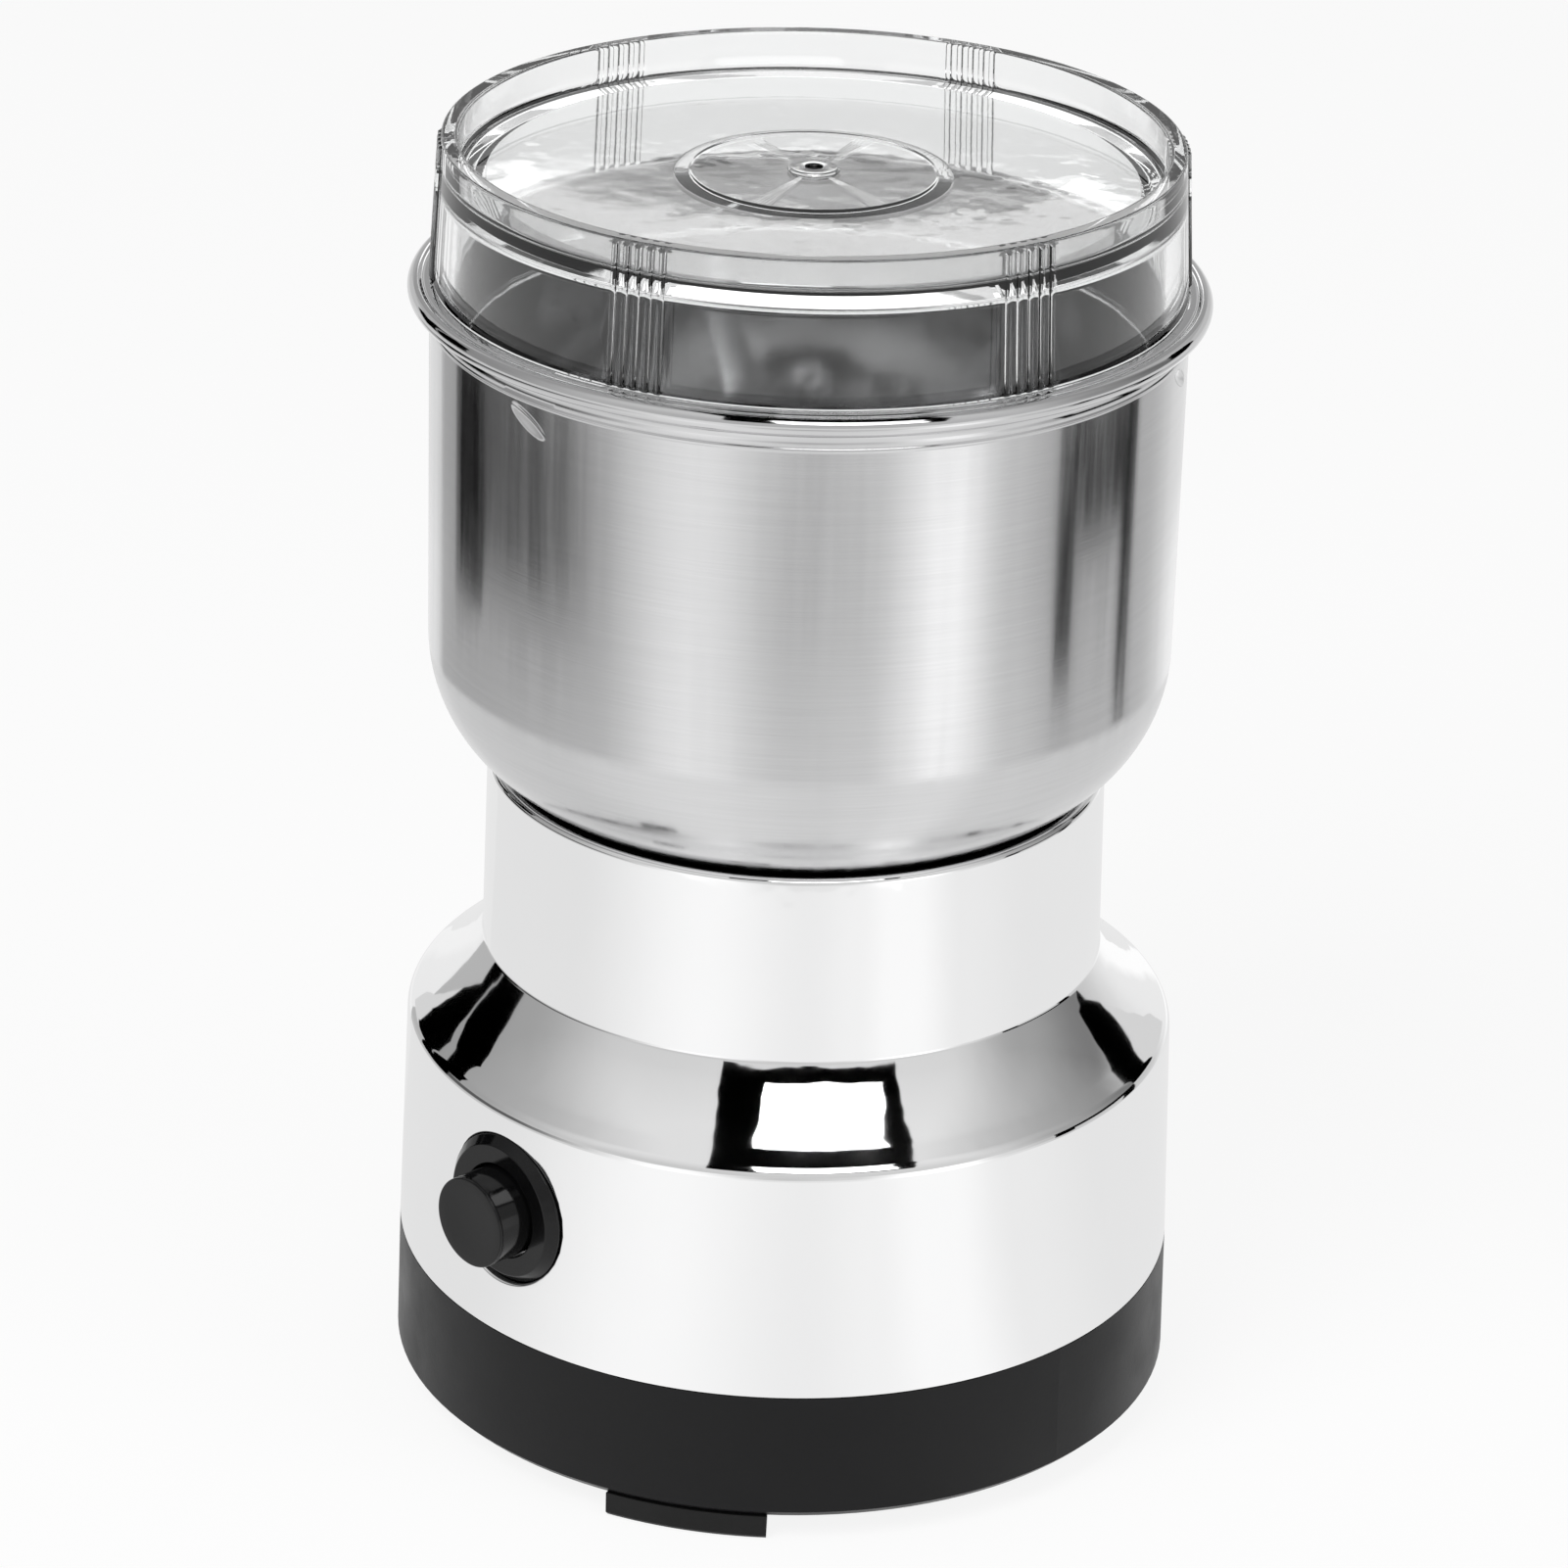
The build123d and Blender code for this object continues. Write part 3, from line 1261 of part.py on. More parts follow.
# Button cap: hollow cap with a flange behind the bezel and a stem down its middle.
with BuildPart() as button_cap:
    with BuildSketch(button_level) as cap_section:
        with BuildLine():
            Polyline(
                (0, -cap_front),
                (cap_radius, -cap_front),
                (cap_radius, -cap_front + cap_line_inset - cap_line_depth),
                (cap_radius - cap_line_depth, -cap_front + cap_line_inset),
                (cap_radius, -cap_front + cap_line_inset + cap_line_depth),
                (cap_radius, -cap_flange_front),
                (cap_radius + cap_flange, -cap_flange_front),
                (cap_radius + cap_flange, -cap_end),
                (cap_radius - cap_wall, -cap_end),
                (cap_radius - cap_wall, -cap_front + cap_wall),
                (stem_radius, -cap_front + cap_wall),
                (stem_radius, -plunger_front),
                (0, -plunger_front),
                close=True,
            )
        make_face()
        fillet(corner(cap_section, cap_radius, -cap_front), cap_edge_fillet)
    revolve(axis=button_axis)
finish(button_cap.part, "button_cap")

# Button spring, round the stem from the inside of the cap to the switch.
with BuildPart() as button_spring:
    coil_front = cap_front - cap_wall - spring_wire_radius
    coil_length = coil_front - switch_front - spring_wire_radius
    with BuildLine() as button_coil:
        Helix(
            pitch=coil_length / spring_turns,
            height=coil_length,
            radius=spring_radius,
            center=(0, -coil_front, button_height),
            direction=(0, 1, 0),
        )
    with BuildSketch(Plane(origin=button_coil.line @ 0, z_dir=button_coil.line % 0)):
        RegularPolygon(spring_wire_radius, 4)
    sweep(is_frenet=True)
finish(button_spring.part, "button_spring")

# Switch: body in its carrier, with a plunger that the stem pushes and two terminals.
with BuildPart() as switch_plunger:
    with BuildSketch(button_plane(plunger_front)):
        Circle(plunger_radius)
    extrude(amount=-plunger_length)
finish(switch_plunger.part, "switch_plunger")

with BuildPart() as switch_body:
    with BuildSketch(button_plane(switch_front)) as switch_outline:
        Rectangle(switch_width, switch_height)
        fillet(switch_outline.vertices(), switch_corner_fillet)
    extrude(amount=-switch_length)
    with BuildSketch(button_plane(switch_front)):
        Circle(plunger_radius + cap_gap)
    plunger_hole = switch_front - plunger_front + plunger_length + button_travel + fit_gap
    extrude(amount=-plunger_hole, mode=Mode.SUBTRACT)
finish(switch_body.part, "switch_body")

with BuildPart() as switch_terminals:
    with BuildSketch(Plane.XY.offset(button_height - switch_height / 2)):
        with Locations((0, -pillar_end + carrier_thickness + terminal_gap + terminal_thickness / 2)):
            with GridLocations(2 * terminal_spread, 0, 2, 1):
                Rectangle(terminal_width, terminal_thickness)
    extrude(amount=-terminal_length)
finish(switch_terminals.part, "switch_terminals")

with BuildPart() as switch_carrier:
    with BuildSketch(button_plane(pillar_end)) as carrier_outline:
        Rectangle(2 * carrier_half_width, carrier_height)
        fillet(carrier_outline.vertices(), carrier_corner_fillet)
        Rectangle(
            switch_width + 2 * carrier_window_gap,
            switch_height + 2 * carrier_window_gap,
            mode=Mode.SUBTRACT,
        )
        with GridLocations(2 * pillar_spread, 0, 2, 1):
            Circle(switch_screw_radius + shaft_gap, mode=Mode.SUBTRACT)
    extrude(amount=-carrier_thickness)
finish(switch_carrier.part, "switch_carrier")

with BuildPart() as switch_screws:
    with BuildSketch(button_plane(pillar_end - carrier_thickness)):
        with GridLocations(2 * pillar_spread, 0, 2, 1):
            Circle(switch_screw_radius)
    extrude(amount=carrier_thickness + switch_screw_length)
    with BuildSketch(button_plane(pillar_end - carrier_thickness)):
        with GridLocations(2 * pillar_spread, 0, 2, 1):
            Circle(2 * switch_screw_radius)
    extrude(amount=-switch_screw_radius)
finish(switch_screws.part, "switch_screws")

# ================================ Lid ====================================================

# Lid: clear cap with a dished top, a skirt into the bowl and groups of grip ribs.
dish_level = lid_top - dish_depth
inner_top_radius = lid_top_radius - lid_wall
with BuildPart() as lid:
    with BuildSketch(Plane.XZ) as lid_section:
        with BuildLine():
            Polyline(
                (0, dish_level - dish_floor),
                (inner_top_radius, dish_level - dish_floor),
                (skirt_radius - skirt_wall, rim_top),
                (skirt_radius - skirt_wall, rim_top - skirt_depth),
                (skirt_radius, rim_top - skirt_depth),
                (skirt_radius, rim_top),
                (lid_foot_radius, rim_top),
                (lid_top_radius, lid_top),
                (inner_top_radius, lid_top),
                (inner_top_radius, dish_level),
                (disc_radius, dish_level),
                (disc_radius, dish_level + disc_height),
                (gate_radius, dish_level + disc_height),
                (gate_radius, dish_level + disc_height + gate_height),
                (gate_hole_radius, dish_level + disc_height + gate_height),
                (gate_hole_radius, dish_level + disc_height + gate_height - gate_hole_depth),
                (0, dish_level + disc_height + gate_height - gate_hole_depth),
                close=True,
            )
        make_face()
        chamfer(corner(lid_section, lid_top_radius, lid_top), lid_edge_chamfer)
        chamfer(corner(lid_section, inner_top_radius, lid_top), lid_edge_chamfer)
        fillet(corner(lid_section, inner_top_radius, dish_level), dish_corner_fillet)
        chamfer(corner(lid_section, inner_top_radius, dish_level - dish_floor), dish_corner_fillet / 2)
        chamfer(corner(lid_section, disc_radius, dish_level + disc_height), disc_edge_chamfer)
    revolve(axis=Axis.Z)
    for rib_group in range(rib_groups):
        for rib_number in range(ribs_in_group):
            rib_step = (rib_number - (ribs_in_group - 1) / 2) * rib_pitch
            rib_direction = ribs_start + rib_group * 360 / rib_groups + rib_step
            with BuildSketch(Plane.XZ.rotated((0, 0, rib_direction - rib_angle / 2))):
                with BuildLine():
                    Polyline(
                        (lid_foot_radius - lid_wall / 2, rim_top + rib_inset),
                        (lid_foot_radius + rib_height, rim_top + rib_inset),
                        (lid_top_radius + rib_height, lid_top - rib_inset),
                        (lid_top_radius - lid_wall / 2, lid_top - rib_inset),
                        close=True,
                    )
                make_face()
            revolve(axis=Axis.Z, revolution_arc=rib_angle)
    with BuildSketch(Plane.XY.offset(rim_top - skirt_depth)):
        with PolarLocations(skirt_radius - skirt_wall / 2, fixing_count, dimples_start):
            Rectangle(2 * skirt_wall, notch_width)
    extrude(amount=skirt_depth - lid_gap, mode=Mode.SUBTRACT)
finish(lid.part, "lid")
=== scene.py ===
"""Looks of the electric spice grinder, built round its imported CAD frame. Lengths are in metres."""

import json
import math

import bmesh
import bpy
from mathutils import Matrix, Vector


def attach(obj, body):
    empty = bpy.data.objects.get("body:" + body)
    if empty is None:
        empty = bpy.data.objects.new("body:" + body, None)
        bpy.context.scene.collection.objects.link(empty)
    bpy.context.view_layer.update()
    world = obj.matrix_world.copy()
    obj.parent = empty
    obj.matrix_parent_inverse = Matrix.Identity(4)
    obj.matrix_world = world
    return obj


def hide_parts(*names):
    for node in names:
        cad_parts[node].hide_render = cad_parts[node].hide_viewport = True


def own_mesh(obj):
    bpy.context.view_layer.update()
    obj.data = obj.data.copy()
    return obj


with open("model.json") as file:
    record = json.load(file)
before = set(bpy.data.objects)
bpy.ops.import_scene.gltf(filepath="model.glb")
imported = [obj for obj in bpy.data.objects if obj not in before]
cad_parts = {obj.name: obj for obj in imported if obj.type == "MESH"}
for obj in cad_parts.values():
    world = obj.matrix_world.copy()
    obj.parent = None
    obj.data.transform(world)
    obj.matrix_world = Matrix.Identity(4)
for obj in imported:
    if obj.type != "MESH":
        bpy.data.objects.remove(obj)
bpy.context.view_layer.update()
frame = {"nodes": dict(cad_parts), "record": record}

MM = 0.001

# ============ Sizes of the outer pieces ============
# They follow the CAD solids. Only the scene has the slanted dents, the softer dish of the lid
# with its lower disc and gate, and the lip that rolls into the button's hole.

# Housing
base_top = 21.3 * MM
shoulder_level = 53.4 * MM
neck_level = 64.4 * MM
neck_top = 90.0 * MM
base_top_radius = 52.4 * MM
drum_top_radius = 51.4 * MM
neck_foot_radius = 41.4 * MM
neck_top_radius = 40.9 * MM
housing_wall = 2.2 * MM
neck_wall = 1.6 * MM
shoulder_hollow = 0.8 * MM  # its dip below a straight cone, where the CAD solid bulges instead
drum_edge_fillet = 2.6 * MM
neck_foot_fillet = 1.2 * MM
neck_lip_fillet = 1.1 * MM

# Bowl
bowl_bottom = 87.5 * MM
rim_top = 156.2 * MM
bowl_radius = 48.8 * MM
bowl_wall = 1.0 * MM
bowl_corner = 20.0 * MM
hub_hole = 8.25 * MM
rim_radius = 51.6 * MM
rim_roll = 1.25 * MM
bead_level = rim_top - 5.0 * MM
bead_height = 0.24 * MM
groove_radius = rim_radius - 1.9 * MM
groove_depth = 0.25 * MM
mouth_fillet = 0.3 * MM

# The dents pressed into the bowl under its rim. Their start and slant are in degrees.
dent_count = 3
dents_start = 30.2
dent_slant = 26.0
dent_level = rim_top - 7.6 * MM
dent_length = 3.5 * MM
dent_width = 0.95 * MM
dent_depth = 0.5 * MM
dent_rows = 24
dent_row_pitch = 0.2 * MM

# Lid
lid_top = 175.0 * MM
lid_foot_radius = 48.45 * MM
lid_top_radius = 47.35 * MM
lid_wall = 2.2 * MM
lid_edge_fillet = 0.5 * MM
skirt_radius = 47.5 * MM
skirt_wall = 1.8 * MM
skirt_depth = 10.5 * MM
skirt_fillet = 0.4 * MM
dish_level = lid_top - 4.8 * MM
dish_floor = 1.05 * MM
dish_fillet = 1.2 * MM
corner_depth = 1.2 * MM  # the dish's underside drops this far on its way out to the wall
corner_width = 3.5 * MM
disc_radius = 16.3 * MM
disc_height = 0.5 * MM
gate_radius = 3.1 * MM
gate_height = 0.45 * MM
gate_hole_radius = 1.1 * MM
gate_hole_depth = 0.9 * MM

# The lid's grip ribs. Their start, pitch and half width are in degrees.
rib_groups = 6
ribs_in_group = 5
ribs_start = 49.0
rib_pitch = 1.95
rib_half = 0.55
rib_height = 0.45 * MM
ribs_bottom = rim_top + 0.5 * MM
ribs_top = lid_top - 0.4 * MM

# Button. Levels along its axis are counted from the grinder's own axis.
button_height = 39.4 * MM
bezel_seat = 49.9 * MM
bezel_face = 52.4 * MM
bezel_radius = 10.2 * MM
bezel_tube_radius = 8.9 * MM
bezel_tube_end = 42.9 * MM
bezel_bevel_width = 1.15 * MM
bezel_bevel_depth = 1.2 * MM
bezel_mouth_fillet = 0.25 * MM
cap_radius = 6.15 * MM
cap_front = 57.5 * MM
cap_dish = 0.12 * MM
cap_edge_fillet = 0.3 * MM
cap_flange = 7.35 * MM
cap_flange_front = 47.4 * MM
cap_end = 45.9 * MM
cap_gap = 0.3 * MM
cap_inner = 4.35 * MM
cap_wall = 1.8 * MM
cap_line_inset = 0.6 * MM
cap_line_half = 0.15 * MM
cap_line_depth = 0.14 * MM
stem_radius = 2.0 * MM
stem_end = 44.4 * MM
coil_back = 41.0 * MM
coil_front = 55.7 * MM
coil_radius = 3.4 * MM
coil_wire = 0.35 * MM
coil_turns = 4

# The window in the drum's wall that is meshed anew round the button's hole
window_bottom = 24.4 * MM
window_top = 51.0 * MM
window_half_angle = 14.0  # degrees
hole_radius = bezel_radius + 0.1 * MM
hole_lip = 0.45 * MM

# ============ Mesh helpers ============


def arc_points(centre, radius, start, end, steps):
    """Points of an arc in the section plane, angles in degrees."""
    points = []
    for step in range(steps + 1):
        angle = math.radians(start + (end - start) * step / steps)
        points.append((centre[0] + radius * math.cos(angle), centre[1] + radius * math.sin(angle)))
    return points


def rounded(corners, steps):
    """Section with its corners rounded in steps. Each corner is (radius, height, fillet)."""
    shortest = 1e-9
    most = 0.49  # share of a side that one fillet may take
    points = []
    count = len(corners)
    for index, (across, up, fillet) in enumerate(corners):
        here = Vector((across, up))
        before = Vector(corners[index - 1][:2]) - here
        after = Vector(corners[(index + 1) % count][:2]) - here
        if fillet <= 0 or before.length < shortest or after.length < shortest:
            points.append((across, up))
            continue
        turn = before.angle(after)
        reach = min(fillet / math.tan(turn / 2), before.length * most, after.length * most)
        start = here + before.normalized() * reach
        end = here + after.normalized() * reach
        for step in range(steps + 1):
            t = step / steps
            points.append(tuple(start * (1 - t) ** 2 + here * 2 * t * (1 - t) + end * t * t))
    return points


def in_scene(name, data):
    """A new object in the scene."""
    item = bpy.data.objects.new(name, data)
    bpy.context.scene.collection.objects.link(item)
    return item


def smooth(mesh):
    """Shades a mesh smoothly."""
    for polygon in mesh.polygons:
        polygon.use_smooth = True


def finished_mesh(name, body):
    """Makes a mesh of a finished body and frees the body."""
    mesh = bpy.data.meshes.new(name)
    body.to_mesh(mesh)
    body.free()
    return mesh


def weighted_normals(piece):
    """Keeps flat faces flat beside small fillets."""
    modifier = piece.modifiers.new("weighted_normals", "WEIGHTED_NORMAL")
    modifier.keep_sharp = True
    modifier.weight = 80


def join_rings(body, first, second):
    """Faces between two closed rings of points. A ring of one point lies on the axis."""
    if len(first) == 1 and len(second) == 1:
        return
    count = max(len(first), len(second))
    for number in range(count):
        following = (number + 1) % count
        if len(first) == 1:
            body.faces.new((first[0], second[following], second[number]))
        elif len(second) == 1:
            body.faces.new((first[number], first[following], second[0]))
        else:
            body.faces.new((first[number], first[following], second[following], second[number]))


def even_angles(count):
    """Angles of evenly spaced points in a full turn."""
    return [2 * math.pi * number / count for number in range(count)]


def lathe(name, section, angles, shape=None, place=None):
    """Closed solid of revolution about Z from a closed section of (radius, height).

    shape(radius, height, angle) may move a point in or out, and place maps the
    finished points to where the piece lies.
    """
    on_axis = 1e-7
    body = bmesh.new()
    rings = []
    for across, up in section:
        if across < on_axis:
            rings.append([body.verts.new((0, 0, up))])
            continue
        ring = []
        for angle in angles:
            radius = across if shape is None else shape(across, up, angle)
            ring.append(body.verts.new((radius * math.cos(angle), radius * math.sin(angle), up)))
        rings.append(ring)
    for index, ring in enumerate(rings):
        join_rings(body, ring, rings[(index + 1) % len(rings)])
    bmesh.ops.recalc_face_normals(body, faces=body.faces)
    if place is not None:
        bmesh.ops.transform(body, matrix=place, verts=body.verts)
    mesh = finished_mesh(name, body)
    smooth(mesh)
    piece = in_scene(name, mesh)
    weighted_normals(piece)
    return piece


def toward_button():
    """Places a lathed piece with its own +Z along the button's axis, outwards."""
    return Matrix.Translation((0, 0, button_height)) @ Matrix.Rotation(math.radians(90), 4, "X")


# ============ Shader helpers ============


def new_material(name):
    """A node material, its node list, its links and its Principled shader."""
    material = bpy.data.materials.new(name)
    material.use_nodes = True
    nodes = material.node_tree.nodes
    links = material.node_tree.links
    return material, nodes, links, nodes["Principled BSDF"]


def stretched(nodes, links, vector, scale):
    """A vector scaled along each axis."""
    mapping = nodes.new("ShaderNodeMapping")
    mapping.inputs["Scale"].default_value = scale
    links.new(vector, mapping.inputs["Vector"])
    return mapping.outputs["Vector"]


def object_coordinates(nodes, links, scale=(1, 1, 1)):
    """Object coordinates stretched by a scale for each axis."""
    coordinates = nodes.new("ShaderNodeTexCoord")
    return stretched(nodes, links, coordinates.outputs["Object"], scale)


def parts_of(nodes, links, vector):
    """The X, Y and Z of a vector."""
    parts = nodes.new("ShaderNodeSeparateXYZ")
    links.new(vector, parts.inputs["Vector"])
    return parts.outputs


def noise(nodes, links, vector, scale, detail, roughness=0.55):
    """A noise value."""
    texture = nodes.new("ShaderNodeTexNoise")
    texture.inputs["Scale"].default_value = scale
    texture.inputs["Detail"].default_value = detail
    texture.inputs["Roughness"].default_value = roughness
    links.new(vector, texture.inputs["Vector"])
    return texture.outputs["Fac"]


def spread(nodes, links, value, low, high, start=0.35, end=0.65):
    """Maps a value from start..end, by default a noise's middle range, to low..high."""
    remap = nodes.new("ShaderNodeMapRange")
    remap.inputs["From Min"].default_value = start
    remap.inputs["From Max"].default_value = end
    remap.inputs["To Min"].default_value = low
    remap.inputs["To Max"].default_value = high
    links.new(value, remap.inputs["Value"])
    return remap.outputs["Result"]


def mixed(nodes, links, value, first, second):
    """A colour between two, by a value. Each of the two is a grey, a colour or a socket."""
    mix = nodes.new("ShaderNodeMix")
    mix.data_type = "RGBA"
    for socket, colour in ((mix.inputs["A"], first), (mix.inputs["B"], second)):
        if isinstance(colour, float):
            socket.default_value = (colour, colour, colour, 1)
        elif isinstance(colour, tuple):
            socket.default_value = (*colour, 1)
        else:
            links.new(colour, socket)
    links.new(value, mix.inputs["Factor"])
    return mix.outputs["Result"]


def calculate(nodes, links, operation, first, second):
    """One step of arithmetic on a value and a value or number."""
    step = nodes.new("ShaderNodeMath")
    step.operation = operation
    links.new(first, step.inputs[0])
    if isinstance(second, (int, float)):
        step.inputs[1].default_value = second
    else:
        links.new(second, step.inputs[1])
    return step.outputs["Value"]


def larger(nodes, links, first, second):
    """The larger of two values."""
    return calculate(nodes, links, "MAXIMUM", first, second)


def product(nodes, links, first, second):
    """A value times a value or number."""
    return calculate(nodes, links, "MULTIPLY", first, second)


def along(nodes, links, vector, way):
    """How far a vector points along another, given as numbers or as a socket."""
    node = nodes.new("ShaderNodeVectorMath")
    node.operation = "DOT_PRODUCT"
    links.new(vector, node.inputs[0])
    if isinstance(way, Vector):
        node.inputs[1].default_value = way
    else:
        links.new(way, node.inputs[1])
    return node.outputs["Value"]


def bump(nodes, links, shader, height, strength, distance):
    """Bump on a shader."""
    node = nodes.new("ShaderNodeBump")
    node.inputs["Strength"].default_value = strength
    node.inputs["Distance"].default_value = distance
    links.new(height, node.inputs["Height"])
    links.new(node.outputs["Normal"], shader.inputs["Normal"])


def dimmed(colour, share):
    """A colour times a share."""
    return tuple(channel * share for channel in colour)


def cylinder_coordinates(nodes, links, radius):
    """(arc length, height, 0) round the Z axis, for marks that follow a lathe."""
    coordinates = nodes.new("ShaderNodeTexCoord")
    parts = parts_of(nodes, links, coordinates.outputs["Object"])
    angle = calculate(nodes, links, "ARCTAN2", parts["Y"], parts["X"])
    joined = nodes.new("ShaderNodeCombineXYZ")
    links.new(product(nodes, links, angle, radius), joined.inputs["X"])
    links.new(parts["Z"], joined.inputs["Y"])
    return joined.outputs["Vector"]


def facing_axis(nodes, links, sink):
    """1 on faces that look towards the Z axis or up, 0 on the outside of a lathed wall."""
    geometry = nodes.new("ShaderNodeNewGeometry")
    lowered = nodes.new("ShaderNodeVectorMath")
    lowered.operation = "SUBTRACT"
    lowered.inputs[1].default_value = (0, 0, sink)
    links.new(object_coordinates(nodes, links, (1, 1, 0)), lowered.inputs[0])
    outwards = along(nodes, links, geometry.outputs["Normal"], lowered.outputs["Vector"])
    return calculate(nodes, links, "LESS_THAN", outwards, 0.0)


# ============ Materials ============


def chrome_material():
    """Mirror plating with faint haze and the slight waviness of a moulding."""
    material, nodes, links, shader = new_material("plated_chrome")
    shader.inputs["Metallic"].default_value = 1.0
    vector = object_coordinates(nodes, links)
    haze = noise(nodes, links, vector, 60.0, 5.0)
    tone = mixed(nodes, links, haze, (0.93, 0.93, 0.935), (0.96, 0.96, 0.96))
    links.new(tone, shader.inputs["Base Color"])
    links.new(spread(nodes, links, haze, 0.025, 0.06), shader.inputs["Roughness"])
    waves = noise(nodes, links, vector, 240.0, 1.0)
    bump(nodes, links, shader, waves, 0.5, 0.04 * MM)
    return material


def brush_lines(nodes, links, around):
    """Fine and coarse lines round the axis."""
    fine = noise(nodes, links, stretched(nodes, links, around, (60, 5200, 1)), 1.0, 3.0, 0.6)
    coarse = noise(nodes, links, stretched(nodes, links, around, (22, 900, 1)), 1.0, 4.0, 0.6)
    fine_part = product(nodes, links, fine, 0.6)
    coarse_part = product(nodes, links, coarse, 0.4)
    return calculate(nodes, links, "ADD", fine_part, coarse_part)


def smudged(nodes, links, around, rough):
    """A roughness with smudges and faint upright marks."""
    smudge = noise(nodes, links, stretched(nodes, links, around, (38, 26, 1)), 1.0, 4.0, 0.5)
    upright = noise(nodes, links, stretched(nodes, links, around, (420, 14, 1)), 1.0, 3.0, 0.6)
    smudges = spread(nodes, links, smudge, rough * 0.8, rough * 1.15)
    marks = spread(nodes, links, upright, -0.03, 0.04)
    return calculate(nodes, links, "ADD", smudges, marks)


def bowl_material():
    """Steel brushed round the Z axis, polished at the rim and inside, with painted shade darkening its
    inside.
    """
    colour = (0.7, 0.7, 0.705)
    # Share of the colour kept on the bowl's inside: painted shade
    inside_shade_share = 0.68
    rough = 0.15
    polished_rough = 0.06
    rim_start = rim_top - 4.4 * MM
    rim_blend = 0.4 * MM
    material, nodes, links, shader = new_material("bowl_steel")
    shader.inputs["Metallic"].default_value = 1.0
    shader.inputs["Anisotropic"].default_value = 0.6
    shader.inputs["Anisotropic Rotation"].default_value = 0.25
    tangent = nodes.new("ShaderNodeTangent")
    tangent.direction_type = "RADIAL"
    tangent.axis = "Z"
    links.new(tangent.outputs["Tangent"], shader.inputs["Tangent"])
    around = cylinder_coordinates(nodes, links, bowl_radius)
    lines = brush_lines(nodes, links, around)
    inside = facing_axis(nodes, links, bowl_radius / 2)
    tint = spread(nodes, links, lines, 0.0, 1.0, 0.3, 0.7)
    brushed = mixed(nodes, links, tint, dimmed(colour, 0.92), colour)
    # Painted shade: the colour of the inside is darkened by that share.
    tone = mixed(nodes, links, inside, brushed, dimmed(colour, inside_shade_share))
    links.new(tone, shader.inputs["Base Color"])
    height = parts_of(nodes, links, around)["Y"]
    rim = spread(nodes, links, height, 0.0, 1.0, rim_start, rim_start + rim_blend)
    polished = larger(nodes, links, inside, rim)
    smoother = spread(nodes, links, polished, 1.0, polished_rough / rough, 0.0, 1.0)
    roughness = product(nodes, links, smudged(nodes, links, around, rough), smoother)
    links.new(roughness, shader.inputs["Roughness"])
    bump(nodes, links, shader, lines, 0.1, 0.04 * MM)
    return material


def clear_material():
    """Clear moulded plastic with faint flow marks and a slightly hazy skin."""
    material, nodes, links, shader = new_material("clear_plastic")
    shader.inputs["Base Color"].default_value = (0.94, 0.945, 0.945, 1)
    shader.inputs["Transmission Weight"].default_value = 1.0
    shader.inputs["IOR"].default_value = 1.49
    vector = object_coordinates(nodes, links)
    haze = noise(nodes, links, vector, 55.0, 3.0)
    links.new(spread(nodes, links, haze, 0.0, 0.03), shader.inputs["Roughness"])
    flow = noise(nodes, links, vector, 130.0, 2.0)
    bump(nodes, links, shader, flow, 0.15, 0.1 * MM)
    return material


def plastic_material(name, colour, rough, grain_scale, grain_depth, specular=0.5):
    """Moulded plastic with fine grain and faint mottling."""
    material, nodes, links, shader = new_material(name)
    shader.inputs["Specular IOR Level"].default_value = specular
    vector = object_coordinates(nodes, links)
    mottle = noise(nodes, links, vector, 90.0, 6.0)
    lighter = tuple(min(1.0, channel * 1.35 + 0.002) for channel in colour)
    links.new(mixed(nodes, links, mottle, colour, lighter), shader.inputs["Base Color"])
    links.new(spread(nodes, links, mottle, rough * 0.88, rough * 1.15), shader.inputs["Roughness"])
    grain = noise(nodes, links, vector, grain_scale, 2.0)
    bump(nodes, links, shader, grain, grain_depth, 0.05 * MM)
    return material


def metal_material(name, colour, rough, grain_scale=400.0, grain_depth=0.15):
    """Plain metal with a mottled roughness."""
    material, nodes, links, shader = new_material(name)
    shader.inputs["Metallic"].default_value = 1.0
    mottle = noise(nodes, links, object_coordinates(nodes, links), grain_scale, 5.0)
    links.new(mixed(nodes, links, mottle, dimmed(colour, 0.8), colour), shader.inputs["Base Color"])
    links.new(spread(nodes, links, mottle, rough * 0.8, rough * 1.25), shader.inputs["Roughness"])
    bump(nodes, links, shader, mottle, grain_depth, 0.05 * MM)
    return material


def layered_material(name, colour, rough, pitch):
    """Metal stacked in thin layers across Z, as laminations or windings."""
    material, nodes, links, shader = new_material(name)
    shader.inputs["Metallic"].default_value = 1.0
    layers = noise(nodes, links, object_coordinates(nodes, links, (6, 6, 1 / pitch)), 1.0, 2.0)
    shade = spread(nodes, links, layers, 0, 1)
    links.new(mixed(nodes, links, shade, dimmed(colour, 0.55), colour), shader.inputs["Base Color"])
    links.new(spread(nodes, links, layers, rough * 0.8, rough * 1.2), shader.inputs["Roughness"])
    bump(nodes, links, shader, layers, 0.4, 0.1 * MM)
    return material


# ============ Housing ============


def drum_surface(across, up):
    """Point of the drum's outer wall in front of a place in the button's plane."""
    share = (up - base_top) / (shoulder_level - base_top)
    radius = base_top_radius + (drum_top_radius - base_top_radius) * share
    return Vector((across, -math.sqrt(radius**2 - across**2), up))


def drum_side_points():
    """Points up the drum's side, in rows that end at the window's edges."""
    rows = 10
    points = []
    for number in range(rows):
        height = window_bottom + (window_top - window_bottom) * number / (rows - 1)
        points.append((-drum_surface(0, height).y, height, 0.0))
    return points


